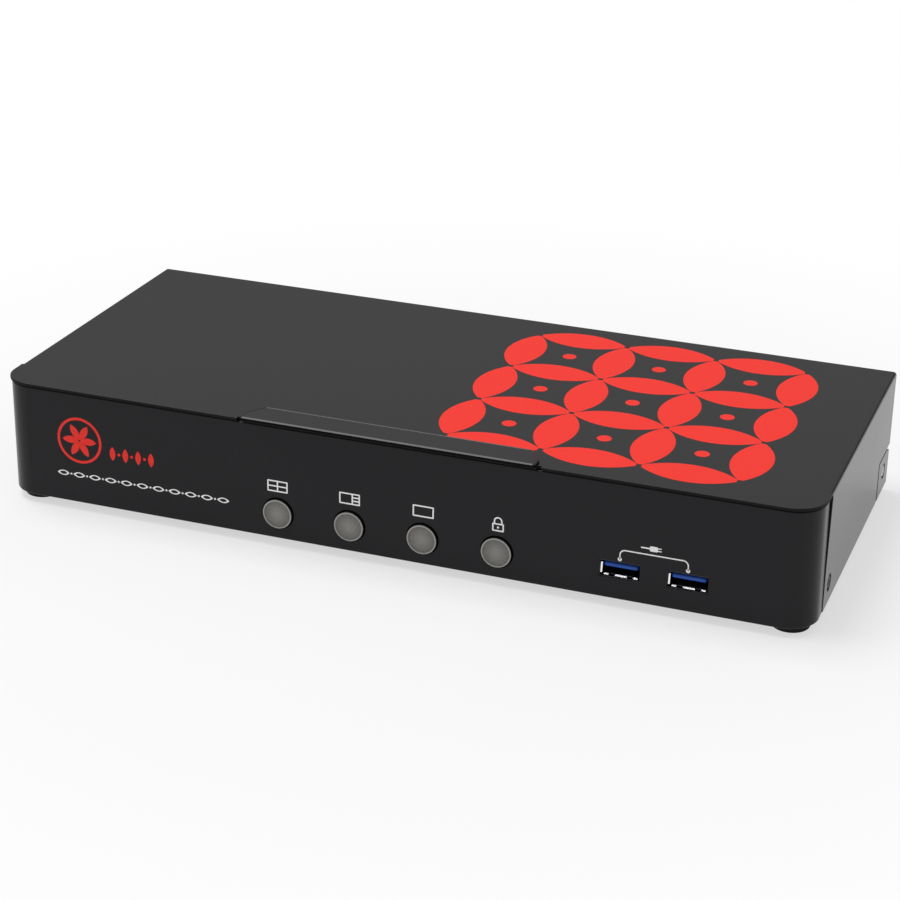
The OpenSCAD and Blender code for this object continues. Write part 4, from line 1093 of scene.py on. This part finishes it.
class SWITCHBOX_OT_front_prints(bpy.types.Operator):
    """Pictograms over the buttons and sockets, and a band of leaves at the left"""

    bl_idname = "switchbox.front_prints"
    bl_label = "Front prints"

    def execute(self, context):
        line, origin = sizes("prints").line, (0, face_y, 0)
        grid_x, list_x, plain_x, lock_x = np.array([x for x, _, _ in button_places()]) + (
            -0.05, 0.1, 0.25, 0.25)
        half, low_z, high_z, small = 3.5, base_z + 16.13, base_z + 20.03, 1.9
        shapes = [[between((x - half, low_z), (x + half, high_z), 0.2, 4)] for x in (grid_x, list_x)]
        shapes[0] += openings((grid_x - half, low_z), (grid_x + half, high_z), 2, 2, line)
        shapes[1] += openings((list_x - half, low_z), (list_x + half - line - small, high_z), 1, 1, line)
        shapes[1] += openings((list_x + half - 2 * line - small, low_z), (list_x + half, high_z), 1, 3,
                              line)
        shapes.append(outlined((plain_x - half, low_z), (plain_x + half, high_z), line))
        shapes.append(outlined((lock_x - 1.9, low_z - 0.4), (lock_x + 1.9, low_z + 2.3), line))
        bow = np.concatenate([[(1.2, 2.25)], arc((0, 3.0), 1.2, 0, 180, 13), [(-1.2, 2.25)]])
        shapes.append([stroke(bow + (lock_x, low_z), line)])
        shapes.append([ring((lock_x, low_z + 0.95), 0.36, 16)])

        left, right = (Span(name).middle[0] for name in numbered("front_usb_shell", 2))
        dot_z, bar_z, bend = base_z + 13.55, base_z + 16.7, 1.6
        route = np.concatenate([
            [(left, dot_z)], arc((left + bend, bar_z - bend), bend, 180, 90, 7),
            arc((right - bend, bar_z - bend), bend, 90, 0, 7), [(right, dot_z)]])
        shapes.append([stroke(route, line * 0.85)])
        shapes += [[ring((x, dot_z), 0.65, 24)] for x in (left, right)]
        x, z = (left + right) / 2, base_z + 18.75
        shapes.append([rectangle((x - 0.2, z), 2.6, 1.7, 0.45, 4)])
        shapes += [[rectangle((x + 1.65, z + level), 1.1, 0.3)] for level in (-0.42, 0.42)]
        shapes.append([stroke([(x - 4.2, z), (x - 1.4, z)], line)])
        printed("front_pictograms", "white_ink", "white_plastic", shapes, origin, FRONT)

        flower, petals = (-106.7, base_z + 22.2), 6
        shapes = [[ring(flower, 8, 64), ring(flower, 7.1, 56)]]
        shapes += [[leaf(spot, 6.0, k * 360 / petals, 0.06)]
                   for k, spot in enumerate(ring(flower, 3.15, petals))]
        mark_z, pitch = base_z + 19.5, 4.6
        shapes += [[leaf((-94.8 + k * pitch, mark_z), 4.9, 90, 0.05)] for k in range(4)]
        shapes += [[ring((-92.5 + k * pitch, mark_z), 0.5, 20)] for k in range(3)]
        printed("front_leaves", "front_red_ink", "bezel_plastic", shapes, origin, FRONT)

        z, pitch = base_z + 9.9, 5.75
        shapes = [[leaf((x, z), 4.4, 0, 0.06), leaf((x, z), 2.8, 0, 0.1, 7)]
                  for x in -113.2 + pitch * np.arange(11)]
        shapes += [[ring((x, z), 0.36, 14)] for x in -113.2 + pitch * (np.arange(10) + 0.5)]
        printed("front_border", "white_ink", "white_plastic", shapes, origin, FRONT)
        return {"FINISHED"}


class SWITCHBOX_OT_leaf_pattern(bpy.types.Operator):
    """Leaf pattern on the cover: a leaf on every side of a square grid, which closes circles"""

    bl_idname = "switchbox.leaf_pattern"
    bl_label = "Leaf pattern"

    def execute(self, context):
        prints = sizes("prints")
        tile, counts, centre = prints.tile, np.array([prints.columns, prints.rows]), (61.2, -0.2)
        shapes = []
        for index in np.ndindex(*(counts + 1)):
            node = centre + (np.array(index) - counts / 2) * tile
            inner_x, inner_y = index < counts
            if inner_x:
                shapes.append([leaf(node + (tile / 2, 0), tile, 0, 0.07, 17)])
            if inner_y:
                shapes.append([leaf(node + (0, tile / 2), tile, 90, 0.07, 17)])
            if inner_x and inner_y:
                shapes.append([ring(node + tile / 2, tile * 0.075, 40)])
        printed("cover_leaves", "red_ink", "cover_paint", shapes, (0, 0, top_z), TOP)
        return {"FINISHED"}


# Strokes of the digits 1 to 4, in a square from -1 to 1
DIGITS = (
    [[(-0.28, 0.62), (0.05, 1.0), (0.05, -1.0)]],
    [[(-0.5, 0.6), (-0.3, 0.93), (0.1, 1.0), (0.45, 0.75), (0.42, 0.3), (-0.55, -0.95), (0.55, -0.95)]],
    [[(-0.5, 0.8), (0.0, 1.0), (0.45, 0.7), (0.35, 0.2), (-0.1, 0.05)],
     [(-0.1, 0.05), (0.4, -0.12), (0.5, -0.6), (0.1, -0.98), (-0.5, -0.8)]],
    [[(0.3, -1.0), (0.3, 1.0)], [(0.2, 0.85), (-0.6, -0.38), (0.6, -0.38)]],
)


class SWITCHBOX_OT_rear_details(bpy.types.Operator):
    """Contacts in the rear sockets, rings in the jacks, and the computers' numbers"""

    bl_idname = "switchbox.rear_details"
    bl_label = "Rear details"

    def execute(self, context):
        made = Gathering()
        for name in numbered("video_in_shell") + ["video_out_shell"]:
            shell = Span(name)
            mouth = shell.high[1]
            for count, offset in ((10, 1.05), (9, 0.04)):
                low = shell.middle[2] + offset
                made.blocks(shell.middle[0] + np.arange(count) - (count - 1) / 2, 0.2,
                            (mouth - 7.6, mouth - 1.95), (low, low + 0.11), 0.02)
        for name in numbered("computer_usb_shell"):
            shell = Span(name)
            mouth = shell.high[1]
            for side in (-1, 1):
                level = shell.low[2] + 5 + side * 1.6
                made.blocks(shell.middle[0] + np.array([-1.25, 1.25]), 0.5,
                            (mouth - 8.6, mouth - 1.5), (level - 0.06, level + 0.06), 0.03)
        shell = Span("console_usb_shell")
        mouth = shell.high[1]
        for side in (-1, 1):
            under = shell.middle[2] + side * 4 + 0.27
            made.blocks(shell.middle[0] + FOUR_CONTACTS, 0.5, (mouth - 9, mouth - 1.9),
                        (under - 0.08, under + 0.08), 0.04)
        sleeve = [(1.55, 0.3), (1.78, 0.3), (1.78, 6), (1.55, 6), (1.55, 0.3)]
        for name in ("speaker_jack", "microphone_jack"):
            jack = Span(name)
            foot = (jack.middle[0], jack.high[1] - 10, jack.middle[2])
            made.add(*lathe(sleeve, foot, (0, 1, 0), 40))
        made.piece("rear_contacts", "contact_gold", "socket_metal")

        shapes, line, digit_half = [], sizes("prints").line, 1.35
        for video, usb, digit in zip(numbered("video_in_shell"), numbered("computer_usb_shell"), DIGITS):
            video_x, usb_x = Span(video).middle[0], Span(usb).middle[0]
            place = (-(video_x + usb_x) / 2, Span(usb).high[2] + 3.4)
            shapes += [[stroke(np.array(path) * digit_half + place, line)] for path in digit]
            reach = (video_x - usb_x) / 2 + 4
            for side in (-1, 1):
                bracket = np.array([(side * 2.2, 0), (side * reach, 0), (side * reach, -1.6)])
                shapes.append([stroke(bracket + place, line * 0.8)])
        printed("rear_numbers", "white_ink", "white_plastic", shapes, (0, panel_y, 0), REAR)
        return {"FINISHED"}


class SWITCHBOX_OT_kept_nodes(bpy.types.Operator):
    """Softens the edges of the nodes whose shape is kept and gives them their finish"""

    bl_idname = "switchbox.kept_nodes"
    bl_label = "Kept nodes"

    def execute(self, context):
        for slot, (edge, names) in KEPT.items():
            for name in names:
                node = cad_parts[name]
                count = len(node.data.materials)
                node.data.materials.clear()
                for _ in range(max(count, 1)):
                    node.data.materials.append(finish(slot))
                if edge == 0:
                    continue
                node.modifiers.new("Joined", "WELD").merge_threshold = 0.001 * MM
                bevel = node.modifiers.new("Soft edges", "BEVEL")
                bevel.width = edge * MM
                bevel.segments = 2
                bevel.limit_method = "ANGLE"
                bevel.angle_limit = math.radians(35)
                bevel.face_strength_mode = "FSTR_ALL"
                even = node.modifiers.new("Even shading", "WEIGHTED_NORMAL")
                even.weight = 100
                even.use_face_influence = True
        return {"FINISHED"}


class SWITCHBOX_OT_stage(bpy.types.Operator):
    """Camera, pale floor, softbox and even light"""

    bl_idname = "switchbox.stage"
    bl_label = "Stage"

    def execute(self, context):
        stage = settings("stage")
        scene = context.scene
        scene.view_settings.view_transform = "Standard"
        camera = bpy.data.objects.new("camera", bpy.data.cameras.new("camera"))
        scene.collection.objects.link(camera)
        camera.location = stage.distance
        tilt, roll, heading = stage.turn
        aim = Euler((tilt, 0, heading), "XYZ").to_matrix() @ Euler((0, 0, roll), "XYZ").to_matrix()
        camera.rotation_euler = aim.to_euler("XYZ")
        camera.data.lens = stage.lens
        camera.data.clip_start, camera.data.clip_end = 0.01, 50
        scene.camera = camera

        half = stage.floor_size / 2
        mesh = bpy.data.meshes.new("floor")
        corners = [(-half, -half, 0), (half, -half, 0), (half, half, 0), (-half, half, 0)]
        mesh.from_pydata(corners, [], [(0, 1, 2, 3)])
        floor = bpy.data.objects.new("floor", mesh)
        scene.collection.objects.link(floor)
        paint = Paint("floor_paper", specular_ior_level=0.0, roughness=0.9)
        paint.set("Base Color", paint.mix(paint.noise(400), (0.88, 0.88, 0.88), (0.9, 0.9, 0.9)))
        where = paint.node("ShaderNodeTexCoord", output="Object")
        away = paint.node("ShaderNodeVectorMath", {"operation": "LENGTH"}, {0: where}, "Value")
        clear = paint.node("ShaderNodeMapRange", {"interpolation_type": "SMOOTHSTEP"}, {
            "Value": away, "From Min": 0.14, "From Max": 0.34, "To Min": 0.6, "To Max": 1.0})
        glow = paint.node("ShaderNodeEmission", None, {"Color": (1.0, 1.0, 1.0), "Strength": 1.0})
        both = paint.node("ShaderNodeMixShader", None, {
            0: (paint.seen() + paint.ray("Glossy")) * clear,
            1: Wire(paint, paint.shader.outputs[0]), 2: glow})
        paint.feed(paint.tree.nodes["Material Output"].inputs["Surface"], both)
        mesh.materials.append(paint.material)

        world = bpy.data.worlds.new("studio")
        scene.world = world
        world.use_nodes = True
        sky = Nodes(world.node_tree)
        back = sky.tree.nodes["Background"]
        direction = sky.node("ShaderNodeTexCoord", output="Generated")
        height = sky.node("ShaderNodeSeparateXYZ", None, {0: direction}, "Z")
        greys = ((0.0, 1.0), (0.03, 0.12), (0.24, 0.12), (0.35, 0.52), (0.55, 0.52), (0.85, 0.7))
        wall = sky.node("ShaderNodeValToRGB", {"stops": [(at, (grey,) * 3) for at, grey in greys]},
                        {0: height})
        strength = sky.seen() * (1.0 - stage.sky) + sky.ray("Glossy") * (wall - stage.sky) + stage.sky
        sky.feed(back.inputs["Strength"], strength)
        back.inputs["Color"].default_value = (1.0, 1.0, 1.0, 1.0)

        lamp = bpy.data.lights.new("softbox", "AREA")
        lamp.shape = "RECTANGLE"
        lamp.size, lamp.size_y = 1.6, 1.8
        lamp.energy = stage.softbox
        box = bpy.data.objects.new("softbox", lamp)
        scene.collection.objects.link(box)
        box.location = (-1.0, 0.0, 2.75)
        box.rotation_euler = (0, math.radians(-20), 0)
        return {"FINISHED"}


OPERATORS = (
    SWITCHBOX_OT_cover,
    SWITCHBOX_OT_bezel,
    SWITCHBOX_OT_visor,
    SWITCHBOX_OT_side_screws,
    SWITCHBOX_OT_caps,
    SWITCHBOX_OT_front_sockets,
    SWITCHBOX_OT_front_prints,
    SWITCHBOX_OT_leaf_pattern,
    SWITCHBOX_OT_rear_details,
    SWITCHBOX_OT_kept_nodes,
    SWITCHBOX_OT_stage,
)


class SWITCHBOX_PT_panel(bpy.types.Panel):
    """Lists the settings and the pieces"""

    bl_label = "Switch Box"
    bl_idname = "SWITCHBOX_PT_panel"
    bl_space_type = "VIEW_3D"
    bl_region_type = "UI"
    bl_category = "Switch Box"

    def draw(self, context):
        for name, group in SETTINGS.items():
            column = self.layout.column()
            for prop in group.__annotations__:
                column.prop(settings(name), prop)
        for operator in OPERATORS:
            self.layout.operator(operator.bl_idname)


CLASSES = (*SETTINGS.values(), *OPERATORS, SWITCHBOX_PT_panel)


def register():
    for each in CLASSES:
        bpy.utils.register_class(each)
    for name, group in SETTINGS.items():
        setattr(bpy.types.Scene, "switch_" + name, PointerProperty(type=group))


def unregister():
    for name in SETTINGS:
        delattr(bpy.types.Scene, "switch_" + name)
    for each in reversed(CLASSES):
        bpy.utils.unregister_class(each)


def main():
    register()
    for operator in OPERATORS:
        group, action = operator.bl_idname.split(".")
        getattr(getattr(bpy.ops, group), action)()
    bpy.context.view_layer.update()


if __name__ == "__main__":
    main()
